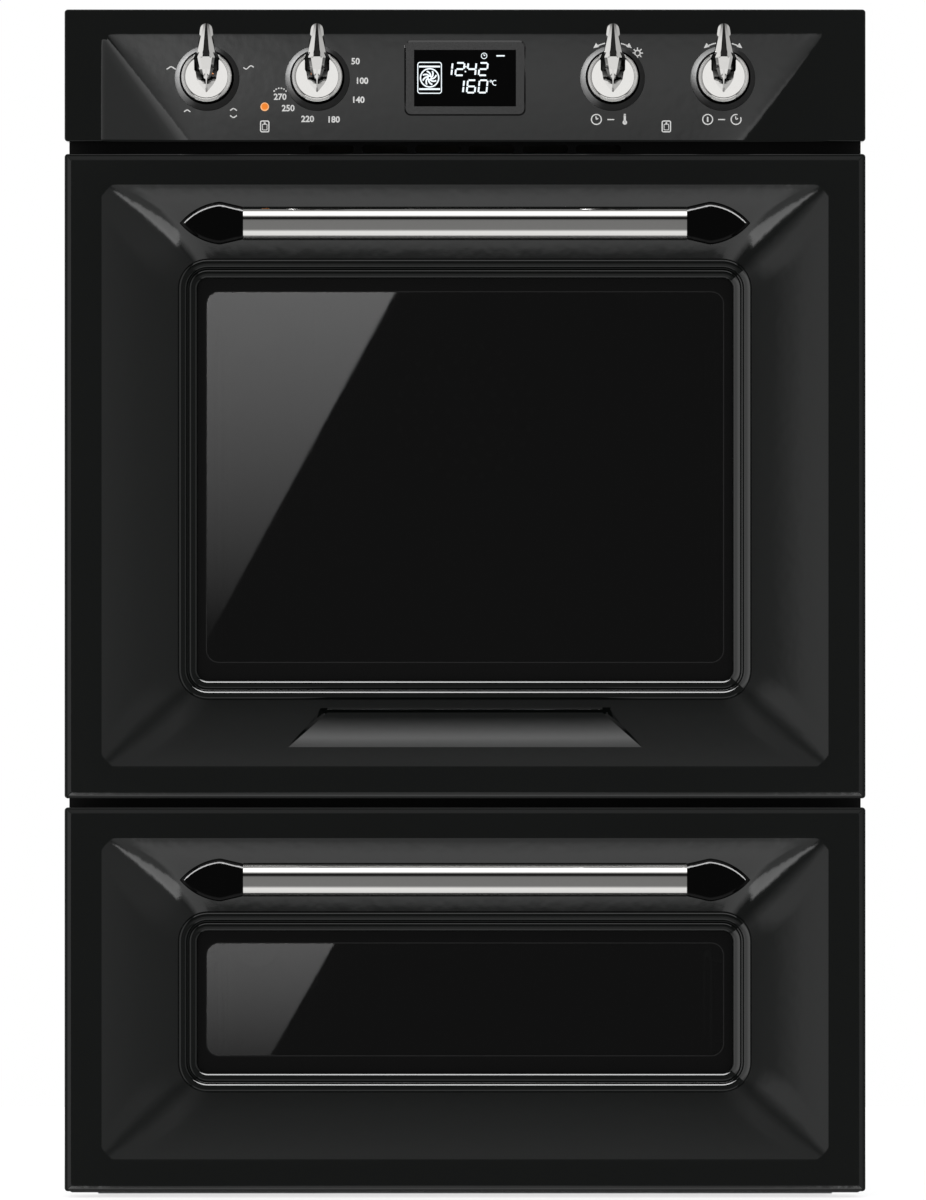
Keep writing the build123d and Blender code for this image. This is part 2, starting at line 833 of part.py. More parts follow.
def make_side_panels():
    """The two side sheets, with in-turned back edges, pressed stiffening ribs and vents."""
    length = rear_y - sheet_front
    mid_y = (rear_y + sheet_front) / 2
    outer = chassis_width / 2
    rib_length = length - 2 * side_rib_margin
    rib_pitch = (chassis_height - 2 * side_rib_end) / (side_rib_count - 1)
    with BuildPart() as sides:
        with BuildSketch(across(outer)):
            with Locations((mid_y, chassis_height / 2)):
                Rectangle(length, chassis_height)
        extrude(amount=-casing)
        # Ribs stand inwards.
        with BuildSketch(across(outer)):
            with Locations((mid_y, chassis_height / 2)):
                with GridLocations(0, rib_pitch, 1, side_rib_count):
                    SlotOverall(rib_length, side_rib_width)
        extrude(amount=-casing - rib_rise)
        with BuildSketch(across(outer)):
            with Locations((mid_y, chassis_height / 2)):
                with GridLocations(0, rib_pitch, 1, side_rib_count):
                    SlotOverall(rib_length - 2 * casing, side_rib_width - 2 * casing)
        extrude(amount=-rib_rise, mode=Mode.SUBTRACT)
        with BuildSketch(across(outer)):
            with Locations((rear_y - side_vent_back, chassis_height - side_vent_drop)):
                with GridLocations(side_vent_pitch, 0, side_vent_count, 1):
                    SlotOverall(side_vent_length, side_vent_width, rotation=90)
        extrude(amount=-casing, mode=Mode.SUBTRACT)
        mirror(about=Plane.YZ)
    return sides.part


def level_sheet(low, front, back, flange, rise):
    """A level sheet between the side panels with its front and back edges turned by rise."""
    half = chassis_width / 2 - casing
    with BuildPart() as sheet_part:
        with BuildSketch(Plane.XY.offset(low)):
            with Locations((0, (front + back) / 2)):
                Rectangle(2 * half, back - front)
        extrude(amount=casing)
        with BuildSketch(Plane.XY.offset(low if rise > 0 else low + casing)):
            with Locations((0, front + casing / 2), (0, back - casing / 2)):
                Rectangle(2 * half, casing)
        extrude(amount=rise * flange)
    return sheet_part.part


with BuildPart() as base_panel:
    add(level_sheet(0, sheet_front, sheet_back, base_flange, 1))
    inner_length = chassis_depth - 2 * base_rib_margin
    inner_width = base_rib_width - 2 * casing
    outer_length = inner_length + 2 * casing
    with BuildSketch(Plane.XY.offset(casing)):
        with GridLocations(base_rib_pitch, 0, 2, 1):
            SlotOverall(inner_length, inner_width, rotation=90)
    extrude(amount=-casing, mode=Mode.SUBTRACT)
    with BuildSketch(Plane.XY.offset(casing)):
        with GridLocations(base_rib_pitch, 0, 2, 1):
            SlotOverall(outer_length, base_rib_width, rotation=90)
            SlotOverall(inner_length, inner_width, rotation=90, mode=Mode.SUBTRACT)
    extrude(amount=rib_rise)
    with BuildSketch(Plane.XY.offset(casing + rib_rise)):
        with GridLocations(base_rib_pitch, 0, 2, 1):
            SlotOverall(outer_length, base_rib_width, rotation=90)
    extrude(amount=-casing)

with BuildPart() as top_cover:
    add(level_sheet(chassis_height - casing, sheet_front, sheet_back, top_flange, -1))
    with BuildSketch(Plane.XY.offset(chassis_height)):
        with Locations((0, rear_y - top_vent_back)):
            with GridLocations(top_vent_pitch, top_vent_rows, top_vent_count, 2):
                SlotOverall(top_vent_length, top_vent_width, rotation=90)
    extrude(amount=-casing, mode=Mode.SUBTRACT)

with BuildPart() as divider_plate:
    add(level_sheet(divider_z, sheet_front, sheet_back - divider_back_gap, divider_flange, -1))
    with BuildSketch(Plane.XY.offset(divider_z)):
        with GridLocations(divider_hole_pitch, 0, 2, 1):
            Circle(divider_hole_radius)
    extrude(amount=casing, mode=Mode.SUBTRACT)

terminal_place = (terminal_inset - chassis_width / 2, chassis_height - terminal_drop)

with BuildPart() as back_cover:
    with BuildSketch(Plane.XZ.offset(-rear_y)):
        with Locations((0, chassis_height / 2)):
            Rectangle(chassis_width - 2 * casing, chassis_height)
        # Louvres over the fan motor and behind the lower oven.
        with Locations((0, fan_z)):
            with GridLocations(0, louvre_pitch, 1, main_louvre_count):
                SlotOverall(louvre_length, louvre_width, mode=Mode.SUBTRACT)
        with Locations((0, lower_oven.middle)):
            with GridLocations(0, louvre_pitch, 1, lower_louvre_count):
                SlotOverall(louvre_length, louvre_width, mode=Mode.SUBTRACT)
        with Locations(terminal_place):
            Rectangle(terminal_width, terminal_height, mode=Mode.SUBTRACT)
    extrude(amount=casing)
    with BuildSketch(Plane.XZ.offset(-rear_y + casing)):
        with Locations((0, chassis_height / 2)):
            with GridLocations(chassis_width - 2 * back_rib_inset, 0, 2, 1):
                SlotOverall(chassis_height - 2 * back_rib_margin, back_rib_width, rotation=90)
    extrude(amount=rib_rise)

# ------------------------------------------------------------------ cavities
lead_x = ring_element_radius * sin(radians(ring_lead_angle))
lead_z = fan_z - ring_element_radius * cos(radians(ring_lead_angle))
ring_leads = ((-lead_x, lead_z), (lead_x, lead_z))


def wall_holes(oven, extra, shaft_extra):
    """Sketch the openings of the back wall: grill leads, lamp and, in the main oven, the fan."""
    with Locations((-grill_x, oven.grill_z), (grill_x, oven.grill_z)):
        Circle(element_radius + lead_clearance + extra)
    with Locations(oven.lamp_centre):
        Circle(holder_radius + extra)
    if oven is main_oven:
        with Locations((0, fan_z)):
            Circle(fan_shaft_radius + shaft_clearance + shaft_extra)
        with Locations(*ring_leads):
            Circle(element_radius + lead_clearance + extra)


def make_cavity(oven):
    """An enamelled box with a flange round its mouth; the static oven's back wall has a pressed ring."""
    with BuildPart() as cavity:
        add(shell_box(oven.mouth, cavity_wall, cavity_front, cavity_back + cavity_wall, cavity_wall))
        with BuildSketch(face_at(cavity_front + cavity_wall)):
            oven.mouth.offset(cavity_flange).draw()
            oven.mouth.draw(mode=Mode.SUBTRACT)
        extrude(amount=cavity_wall)
        with BuildSketch(face_at(cavity_back + cavity_wall)):
            wall_holes(oven, 0, 0)
        extrude(amount=cavity_wall, mode=Mode.SUBTRACT)
        if oven is lower_oven:
            with BuildSketch(face_at(cavity_back)):
                with Locations((0, oven.middle)):
                    Circle(boss_ring_radius)
                    Circle(boss_ring_radius - boss_ring_width, mode=Mode.SUBTRACT)
            extrude(amount=boss_ring_height)
    return cavity.part


def make_blanket(oven):
    """A mineral-wool blanket round a cavity, open at the mouth."""
    with BuildPart() as blanket:
        with BuildSketch(face_at(cavity_back + cavity_wall + insulation)):
            oven.outside.offset(insulation).draw()
        extrude(amount=cavity_back + cavity_wall + insulation - fascia_depth - insulation_front)
        with BuildSketch(face_at(cavity_back + cavity_wall)):
            oven.outside.draw()
        extrude(amount=cavity_depth + cavity_wall, mode=Mode.SUBTRACT)
        with BuildSketch(face_at(cavity_back + cavity_wall + insulation)):
            wall_holes(oven, blanket_gap, blanket_shaft_gap)
        extrude(amount=insulation, mode=Mode.SUBTRACT)
    return blanket.part


def make_gasket(oven):
    """The round-edged seal in front of a mouth."""
    near = door_depth + gasket_gap
    with BuildPart() as gasket:
        with BuildSketch(face_at(fascia_depth)):
            oven.mouth.offset(gasket_margin + gasket_width).draw()
            oven.mouth.offset(gasket_margin).draw(mode=Mode.SUBTRACT)
        extrude(amount=fascia_depth - near)
        fillet(gasket.faces().sort_by(Axis.Y)[0].edges(), gasket_round)
    return gasket.part


def make_ladders(oven, rung_count, drop):
    """Wire shelf guides on both side walls: two uprights, level rungs and pins into the walls."""
    low = oven.low + ladder_lift
    high = oven.high - drop
    rung_step = (high - low - 2 * rung_margin) / (rung_count - 1)
    front = front_y + cavity_front + ladder_front
    back = front_y + cavity_back - ladder_back
    ys = (front + upright_inset, back - upright_inset)
    pin_zs = (low + wall_pin_margin, high - wall_pin_margin)
    rung_x = cavity_width / 2 - ladder_inset
    upright_x = rung_x + ladder_step
    with BuildPart() as ladders:
        with BuildSketch(Plane.XY.offset(low)):
            with Locations(*((upright_x, y) for y in ys)):
                Circle(ladder_wire)
        extrude(amount=high - low)
        with BuildSketch(Plane.XZ.offset(-front)):
            for i in range(rung_count):
                with Locations((rung_x, low + rung_margin + i * rung_step)):
                    Circle(ladder_wire)
        extrude(amount=front - back)
        with BuildSketch(across(upright_x)):
            with Locations(*((y, z) for y in ys for z in pin_zs)):
                Circle(ladder_wire)
        extrude(amount=cavity_width / 2 - upright_x)
        mirror(about=Plane.YZ)
    return ladders.part


def make_grill(oven):
    """A folded heating tube under the roof; its leads leave through the back wall."""
    z = oven.grill_z
    y_front = front_y + cavity_front + grill_front
    y_back = front_y + cavity_back - fan_cover_depth - grill_cover_gap
    y_end = front_y + cavity_back + cavity_wall + insulation + lead_tail
    step = 2 * grill_x / (grill_leg_count - 1)
    corners = [(-grill_x, y_end, z)]
    for i in range(grill_leg_count - 1):
        turn_y = y_front if i % 2 == 0 else y_back
        corners.append((-grill_x + i * step, turn_y, z))
        corners.append((-grill_x + (i + 1) * step, turn_y, z))
    corners.append((grill_x, y_end, z))
    with BuildPart() as grill:
        with BuildLine():
            path = FilletPolyline(*corners, radius=grill_bend)
        with BuildSketch(Plane(origin=path @ 0, z_dir=path % 0)):
            Circle(element_radius)
        sweep()
    return grill.part


def make_lamps(oven):
    """A lamp holder through the back wall and the glass dome over it."""
    with BuildPart() as holder:
        with BuildSketch(face_at(cavity_back)):
            with Locations(oven.lamp_centre):
                Circle(holder_radius - lead_clearance)
        extrude(amount=-(cavity_wall + insulation + lead_tail))
        with BuildSketch(face_at(cavity_back)):
            with Locations(oven.lamp_centre):
                Circle(holder_radius - holder_wall)
        extrude(amount=-insulation, mode=Mode.SUBTRACT)
    with BuildPart() as dome:
        with BuildSketch(face_at(cavity_back)):
            with Locations(oven.lamp_centre):
                Circle(dome_radius)
        extrude(amount=dome_height)
        fillet(dome.faces().sort_by(Axis.Y)[0].edges(), dome_round)
        with BuildSketch(face_at(cavity_back)):
            with Locations(oven.lamp_centre):
                Circle(dome_radius - dome_wall)
        extrude(amount=dome_height - dome_wall, mode=Mode.SUBTRACT)
    return holder.part, dome.part


# ------------------------------------------------------------------ fan compartment
cover_front = cavity_back - fan_cover_depth
cover_slot_depth = (cover_front + fan_cover_round + cavity_back) / 2
fan_front = cover_front + fan_cover_sheet + fan_clearance
fan_outline = Outline(fan_cover_half, fan_z - fan_cover_half, fan_z + fan_cover_half, fan_cover_radius)

with BuildPart() as fan_cover:
    with BuildSketch(face_at(cavity_back)):
        fan_outline.draw()
    extrude(amount=fan_cover_depth)
    fillet(fan_cover.faces().sort_by(Axis.Y)[0].edges(), fan_cover_round)
    with BuildSketch(face_at(cavity_back)):
        fan_outline.offset(-fan_cover_sheet).draw()
    extrude(amount=fan_cover_depth - fan_cover_sheet - fan_cover_step, mode=Mode.SUBTRACT)
    with BuildSketch(face_at(cavity_back)):
        fan_outline.offset(-fan_cover_sheet - fan_cover_step).draw()
    extrude(amount=fan_cover_depth - fan_cover_sheet, mode=Mode.SUBTRACT)
    # A pressed ring frames the perforated inlet.
    with BuildSketch(face_at(cover_front)):
        with Locations((0, fan_z)):
            Circle(boss_ring_radius)
            Circle(boss_ring_radius - boss_ring_width, mode=Mode.SUBTRACT)
    extrude(amount=boss_ring_height)
    # Inlet holes lie on rings, six more on each.
    with BuildSketch(face_at(cover_front + fan_cover_sheet)):
        with Locations((0, fan_z)):
            Circle(perforation_radius)
            for ring in range(1, perforation_ring_count + 1):
                with PolarLocations(ring * perforation_pitch, 6 * ring):
                    Circle(perforation_radius)
    extrude(amount=fan_cover_sheet, mode=Mode.SUBTRACT)
    # Hot air leaves through slots in both side walls.
    with BuildSketch(across(-fan_cover_half)):
        with Locations((front_y + cover_slot_depth, fan_z)):
            with GridLocations(0, cover_slot_pitch, 1, cover_slot_count):
                SlotOverall(cover_slot_length, cover_slot_width, rotation=90)
    extrude(amount=2 * fan_cover_half, mode=Mode.SUBTRACT)

fan_shaft_end = cavity_back + cavity_wall + insulation + fan_motor_length / 2
blade_inner = fan_hub_radius + fan_blade_root
blade_outer = fan_radius - fan_blade_rim

with BuildPart() as convection_fan:
    with BuildSketch(face_at(fan_front + fan_blade_depth + fan_plate)):
        with Locations((0, fan_z)):
            Circle(fan_radius)
    extrude(amount=fan_plate)
    with BuildSketch(face_at(fan_front + fan_blade_depth)):
        with Locations((0, fan_z)):
            Circle(fan_hub_radius)
            with PolarLocations((blade_inner + blade_outer) / 2, fan_blade_count):
                Rectangle(blade_outer - blade_inner, fan_plate, rotation=fan_blade_turn)
    extrude(amount=fan_blade_depth)
    with BuildSketch(face_at(fan_shaft_end)):
        with Locations((0, fan_z)):
            Circle(fan_shaft_radius)
    extrude(amount=fan_shaft_end - fan_front - fan_blade_depth)

with BuildPart() as ring_element:
    turn = radians(-ring_lead_angle)
    ring_depth = cavity_back - fan_cover_depth / 2
    start_plane = Plane(origin=(0, 0, fan_z), x_dir=(0, 1, 0), z_dir=(-cos(turn), 0, -sin(turn)))
    with BuildSketch(start_plane):
        with Locations((front_y + ring_depth, ring_element_radius)):
            Circle(element_radius)
    revolve(axis=Axis((0, 0, fan_z), (0, 1, 0)), revolution_arc=360 - 2 * ring_lead_angle)
    with BuildSketch(face_at(cavity_back + cavity_wall + insulation + lead_tail)):
        with Locations(*ring_leads):
            Circle(element_radius)
    extrude(amount=cavity_back + cavity_wall + insulation + lead_tail - ring_depth)

with BuildPart() as fan_motor:
    motor_front = cavity_back + cavity_wall
    motor_flange = motor_front + insulation
    with BuildSketch(face_at(motor_flange)):
        with Locations((0, fan_z)):
            Circle(motor_nose_radius)
    extrude(amount=insulation)
    with BuildSketch(face_at(motor_flange)):
        with Locations((0, fan_z)):
            RectangleRounded(2 * motor_plate_half, 2 * motor_plate_half, motor_plate_radius)
    extrude(amount=-motor_plate)
    with BuildSketch(face_at(motor_flange)):
        with Locations((0, fan_z)):
            Circle(fan_motor_radius)
    extrude(amount=-fan_motor_length)
    fillet(fan_motor.faces().sort_by(Axis.Y)[-1].edges(), fan_motor_round)
    with BuildSketch(face_at(fan_shaft_end + shaft_end_gap)):
        with Locations((0, fan_z)):
            Circle(fan_shaft_radius + pin_fit)
    extrude(amount=fan_shaft_end + shaft_end_gap - motor_front, mode=Mode.SUBTRACT)

# ------------------------------------------------------------------ cooling fan
blower_z = insulation_top + blower_rise
duct_high = panel_low + casing
scroll_radius = blower_radius + blower_gap
duct_start = front_y + cavity_front


def blower_profile(wall):
    """Sketch the scroll and its duct, grown by the sheet's thickness."""
    with Locations((blower_y, blower_z)):
        Circle(scroll_radius + wall)
    low = insulation_top + casing - wall
    high = duct_high - casing + wall
    with Locations(((duct_start + blower_y) / 2, (low + high) / 2)):
        Rectangle(blower_y - duct_start, high - low)


with BuildPart() as blower_housing:
    with BuildSketch(across(-blower_half_length - casing)):
        blower_profile(casing)
    extrude(amount=2 * (blower_half_length + casing))
    with BuildSketch(across(-blower_half_length)):
        blower_profile(0)
    extrude(amount=2 * blower_half_length, mode=Mode.SUBTRACT)
    # Air enters over the top of the scroll.
    with BuildSketch(Plane.XY.offset(blower_z + scroll_radius + 2 * casing)):
        with Locations((0, blower_y)):
            Rectangle(2 * (blower_half_length - blower_intake_margin), blower_radius)
    extrude(amount=-scroll_radius, mode=Mode.SUBTRACT)
    with BuildSketch(across(-blower_half_length - casing)):
        with Locations((blower_y, blower_z)):
            Circle(shaft_radius + pin_fit)
    extrude(amount=2 * (blower_half_length + casing), mode=Mode.SUBTRACT)

with BuildPart() as blower_wheel:
    half = blower_half_length - blower_gap
    shaft_half = blower_half_length + casing + blower_shaft_end
    with BuildSketch(across(-half)):
        with Locations((blower_y, blower_z)):
            with PolarLocations(blower_radius - blower_blade_inset, blower_blade_count):
                Rectangle(blower_blade_width, fan_plate, rotation=fan_blade_turn)
    extrude(amount=2 * half)
    for x in (-half, -fan_plate / 2, half - fan_plate):
        with BuildSketch(across(x)):
            with Locations((blower_y, blower_z)):
                Circle(blower_radius)
        extrude(amount=fan_plate)
    with BuildSketch(across(-shaft_half)):
        with Locations((blower_y, blower_z)):
            Circle(shaft_radius)
    extrude(amount=2 * shaft_half + blower_motor_length / 2)

with BuildPart() as blower_motor:
    with BuildSketch(across(blower_half_length + casing)):
        with Locations((blower_y, blower_z)):
            Circle(blower_motor_radius)
            Circle(shaft_radius + pin_fit, mode=Mode.SUBTRACT)
    extrude(amount=blower_motor_length)
    fillet(blower_motor.faces().sort_by(Axis.X)[-1].edges().sort_by(SortBy.LENGTH)[-1], blower_motor_round)

# ------------------------------------------------------------------ control panel
lean = leaning_plane(panel_recess_top, panel_recess_top - panel_low, panel_lean_depth)
lean_axis = Axis(lean.origin, lean.z_dir)
lean_cos = cos(atan2(panel_lean_depth, panel_recess_top - panel_low))
panel_foot = panel_low - panel_run_out
panel_half = front_width / 2 - border_side
panel_outline = Outline(front_width / 2, panel_low, panel_high, front_corner_radius)
panel_outer = Outline(panel_half, panel_foot, panel_recess_top, panel_recess_radius)
panel_inner = Outline(panel_half - panel_slope_side, panel_foot, panel_low, panel_inner_radius)


def on_lean(x, z):
    """Local coordinates, on the leaning face, of the point in front of x and height z."""
    return (x, (z - panel_recess_top) / lean_cos)


with BuildPart() as control_panel:
    add(pressed_front(panel_outline, panel_outer, panel_inner, fascia_depth, panel_lean_depth))
    with BuildSketch(face_at(panel_lean_depth + 2 * skin)):
        with Locations(*((x, knob_z) for x in knob_xs)):
            Circle(shaft_hole)
        with Locations((0, knob_z)):
            Rectangle(screen_width + 2 * screen_slot_gap, screen_height + 2 * screen_slot_gap)
        with Locations((lamp_x, knob_z - lamp_drop)):
            Circle(lamp_radius)
    extrude(amount=panel_lean_depth + 2 * skin, mode=Mode.SUBTRACT)

with BuildPart() as display_bezel:
    with BuildSketch(lean):
        with Locations(on_lean(0, knob_z)):
            RectangleRounded(display_width, display_height, display_radius)
    extrude(amount=display_rise)
    chamfer(display_bezel.faces().sort_by(lean_axis)[-1].edges(), display_chamfer)
    with BuildSketch(lean.offset(display_rise)):
        with Locations(on_lean(0, knob_z)):
            Rectangle(screen_width, screen_height)
    extrude(amount=-2 * display_rise, mode=Mode.SUBTRACT)

with BuildPart() as display_glass:
    with BuildSketch(lean.offset(display_rise - screen_drop)):
        with Locations(on_lean(0, knob_z)):
            Rectangle(screen_width, screen_height)
    extrude(amount=-(display_rise - screen_drop + skin))

display_back = cavity_front + display_module_depth
board_place = (board_inset - chassis_width / 2, board_y)
board_top = insulation_top + board_rise + board_thickness

with BuildPart() as control_boards:
    # The display module hangs between the glass and the front frame.
    with BuildSketch(face_at(display_back)):
        with Locations((0, knob_z)):
            Rectangle(screen_width, screen_height - 2 * module_inset)
    extrude(amount=display_back)
    split(bisect_by=lean.offset(-skin - board_gap), keep=Keep.BOTTOM)
    # The power board stands on four pillars on the main blanket.
    with BuildSketch(Plane.XY.offset(insulation_top)):
        with Locations(board_place):
            post_pitch_x = board_width - 2 * board_post_inset
            post_pitch_y = board_length - 2 * board_post_inset
            with GridLocations(post_pitch_x, post_pitch_y, 2, 2):
                Circle(board_post_radius)
    extrude(amount=board_rise)
    with BuildSketch(Plane.XY.offset(insulation_top + board_rise)):
        with Locations(board_place):
            Rectangle(board_width, board_length)
    extrude(amount=board_thickness)
    with BuildSketch(Plane.XY.offset(board_top)):
        with Locations(board_place):
            with Locations((0, -board_length / 4)):
                Rectangle(transformer_width, transformer_length)
            with Locations((0, board_length / 4)):
                with GridLocations(relay_pitch_x, relay_pitch_y, 2, 2):
                    Rectangle(relay_width, relay_length)
    extrude(amount=board_parts_height)

with BuildPart() as lamp_lens:
    with BuildSketch(lean.offset(-2 * skin)):
        with Locations(on_lean(lamp_x, knob_z - lamp_drop)):
            Circle(lamp_radius - lamp_fit)
    extrude(amount=2 * skin + lamp_rise)
    fillet(lamp_lens.faces().sort_by(lean_axis)[-1].edges(), lamp_round)


def make_ring(x):
    """The black conical collar behind a knob, cut to sit on the leaning face."""
    mid_y = front_y + panel_lean_depth
    with BuildPart() as ring:
        with BuildSketch(across(x)):
            with BuildLine():
                Polyline(
                    (mid_y, knob_z + ring_bore),
                    (mid_y, knob_z + ring_foot_radius + ring_foot_flare),
                    (front_y, knob_z + ring_foot_radius - ring_waist),
                    (front_y - ring_nose + ring_nose_chamfer, knob_z + ring_nose_radius),
                    (front_y - ring_nose, knob_z + ring_nose_radius - ring_nose_chamfer),
                    (front_y - ring_nose, knob_z + ring_bore),
                    close=True,
                )
            make_face()
        revolve(axis=Axis((x, 0, knob_z), (0, 1, 0)))
        split(bisect_by=lean, keep=Keep.TOP)
    return ring.part


disc_back = ring_nose + knob_gap
disc_front = disc_back + disc_thickness


def facet_level(height):
    """How far the lever's front stands before the disc: it rises to the ridge and falls to both ends."""
    if height < lever_crest:
        share = (lever_crest - height) / (lever_crest + lever_toe)
        return lever_rise - share * (lever_rise - lever_toe_rise)
    share = (height - lever_crest) / (lever_tip - lever_crest)
    return lever_rise - share * (lever_rise - lever_tip_rise)


def make_knob(x):
    """A chromed disc with a raised rim, a hub on the shaft and a kite-shaped lever that rises past it."""
    # Sections of the lever: height above the axis, half widths at its foot, at its outer edge and
    # across its front facet, and how far the foot stands before the disc.
    sections = (
        (-lever_toe, 0.4, 0.3, 0.2, 0.0),
        (-5.6, 5.2, 0.5, 0.3, 0.0),
        (-1.9, 7.2, 2.7, 0.6, 0.0),
        (5.0, 9.1, 5.3, 3.0, 0.0),
        (lever_crest - 0.7, 9.8, lever_half_width, 4.4, 0.0),
        (lever_crest, 9.6, lever_half_width, 2.7, 0.2),
        (19.6, 6.6, 6.1, 2.1, 4.6),
        (lever_tip, 4.2, 4.1, 0.3, 8.0),
    )
    disc_y = front_y - disc_front
    with BuildPart() as knob:
        with BuildSketch(face_at(-disc_back)):
            with Locations((x, knob_z)):
                Circle(disc_radius)
        extrude(amount=disc_thickness + disc_rim_height)
        chamfer(knob.faces().filter_by(Axis.Y).edges().filter_by(GeomType.CIRCLE), disc_chamfer)
        with BuildSketch(face_at(-disc_front - disc_rim_height)):
            with Locations((x, knob_z)):
                Circle(disc_radius - disc_rim)
        extrude(amount=-disc_rim_height, mode=Mode.SUBTRACT)
        for height, foot_half, edge_half, facet_half, foot_rise in sections:
            facet_rise = facet_level(height)
            edge_rise = facet_rise - min(lever_bevel, (facet_rise - foot_rise) / 2)
            with BuildSketch(Plane.XY.offset(knob_z + height)):
                with BuildLine():
                    Polyline(
                        (x - foot_half, disc_y - foot_rise),
                        (x - edge_half, disc_y - edge_rise),
                        (x - facet_half, disc_y - facet_rise),
                        (x + facet_half, disc_y - facet_rise),
                        (x + edge_half, disc_y - edge_rise),
                        (x + foot_half, disc_y - foot_rise),
                        close=True,
                    )
                make_face()
        loft(ruled=True)
        # The end of the lever is rounded.
        with BuildSketch(face_at(-disc_front - lever_rise)):
            with Locations((x, knob_z + lever_tip - lever_end_radius)):
                Rectangle(4 * lever_end_radius, 2 * lever_end_radius, align=(Align.CENTER, Align.MIN))
                Circle(lever_end_radius, mode=Mode.SUBTRACT)
        extrude(amount=-lever_rise, mode=Mode.SUBTRACT)
        with BuildSketch(face_at(-disc_back)):
            with Locations((x, knob_z)):
                Circle(hub_radius)
        extrude(amount=-(disc_back - hub_start))
        with BuildSketch(face_at(-hub_start)):
            with Locations((x, knob_z)):
                Circle(shaft_radius)
        extrude(amount=shaft_tip - hub_start, mode=Mode.SUBTRACT)
    return knob.part


switch_front = cavity_front
switch_back = switch_front + switch_depth
shaft_back = switch_front + shaft_seat
bore_end = shaft_back + push_travel + shaft_end_gap


def make_shaft(x):
    with BuildPart() as shaft:
        with BuildSketch(face_at(shaft_back)):
            with Locations((x, knob_z)):
                Circle(shaft_radius)
        extrude(amount=shaft_back + shaft_tip)
    return shaft.part


rotor_front = switch_front + rotor_start
rotor_back = rotor_front + rotor_length


def make_switch(x, with_rotor):
    """A switch body behind the front frame, with its bush through it; an encoder has a rotor chamber."""
    with BuildPart() as switch:
        with BuildSketch(face_at(switch_back)):
            with Locations((x, knob_z)):
                RectangleRounded(switch_size, switch_size, switch_radius)
        extrude(amount=switch_depth)
        with BuildSketch(face_at(switch_front)):
            with Locations((x, knob_z)):
                Circle(bush_radius)
        extrude(amount=bush_length)
        with BuildSketch(face_at(bore_end)):
            with Locations((x, knob_z)):
                Circle(shaft_radius + pin_fit)
        extrude(amount=bore_end, mode=Mode.SUBTRACT)
        if with_rotor:
            with BuildSketch(face_at(rotor_back + rotor_fit)):
                with Locations((x, knob_z)):
                    Circle(rotor_radius + rotor_fit)
            extrude(amount=rotor_length + 2 * rotor_fit, mode=Mode.SUBTRACT)
    return switch.part


def make_rotor(x):
    """The encoder's rotor: it turns with the shaft, which slides in it when the knob is pushed."""
    with BuildPart() as rotor:
        with BuildSketch(face_at(rotor_back)):
            with Locations((x, knob_z)):
                Circle(rotor_radius)
                Circle(shaft_radius + pin_fit, mode=Mode.SUBTRACT)
        extrude(amount=rotor_length)
    return rotor.part


with BuildPart() as terminal_block:
    with BuildSketch(Plane.XZ.offset(-rear_y)):
        with Locations(terminal_place):
            RectangleRounded(
                terminal_width + 2 * terminal_lip, terminal_height + 2 * terminal_lip, terminal_radius
            )
    extrude(amount=-terminal_lip_thickness)
    with BuildSketch(Plane.XZ.offset(-rear_y)):
        with Locations(terminal_place):
            Rectangle(terminal_width - 2 * terminal_fit, terminal_height - 2 * terminal_fit)
    extrude(amount=terminal_depth)
    with BuildSketch(Plane.XZ.offset(-rear_y - terminal_lip_thickness)):
        with Locations(terminal_place):
            Circle(cord_entry_radius)
    extrude(amount=terminal_depth, mode=Mode.SUBTRACT)

with BuildPart() as casing_screws:
    with BuildSketch(Plane.XZ.offset(-rear_y)):
        with Locations((0, chassis_height / 2)):
            row_pitch = (chassis_height - 2 * screw_margin) / (screw_row_count - 1)
            with GridLocations(chassis_width - 2 * screw_inset, row_pitch, 2, screw_row_count):
                Circle(screw_head_radius)
    extrude(amount=-screw_head_height)


# ------------------------------------------------------------------ groups and export
def group(*solids):
    """Like pieces that share one node."""
    return Compound(children=[solid for part in solids for solid in part.solids()])


holders, domes = zip(*(make_lamps(oven) for oven in ovens))
main_ladders = make_ladders(main_oven, main_rung_count, main_ladder_drop)
lower_ladders = make_ladders(lower_oven, lower_rung_count, lower_ladder_drop)

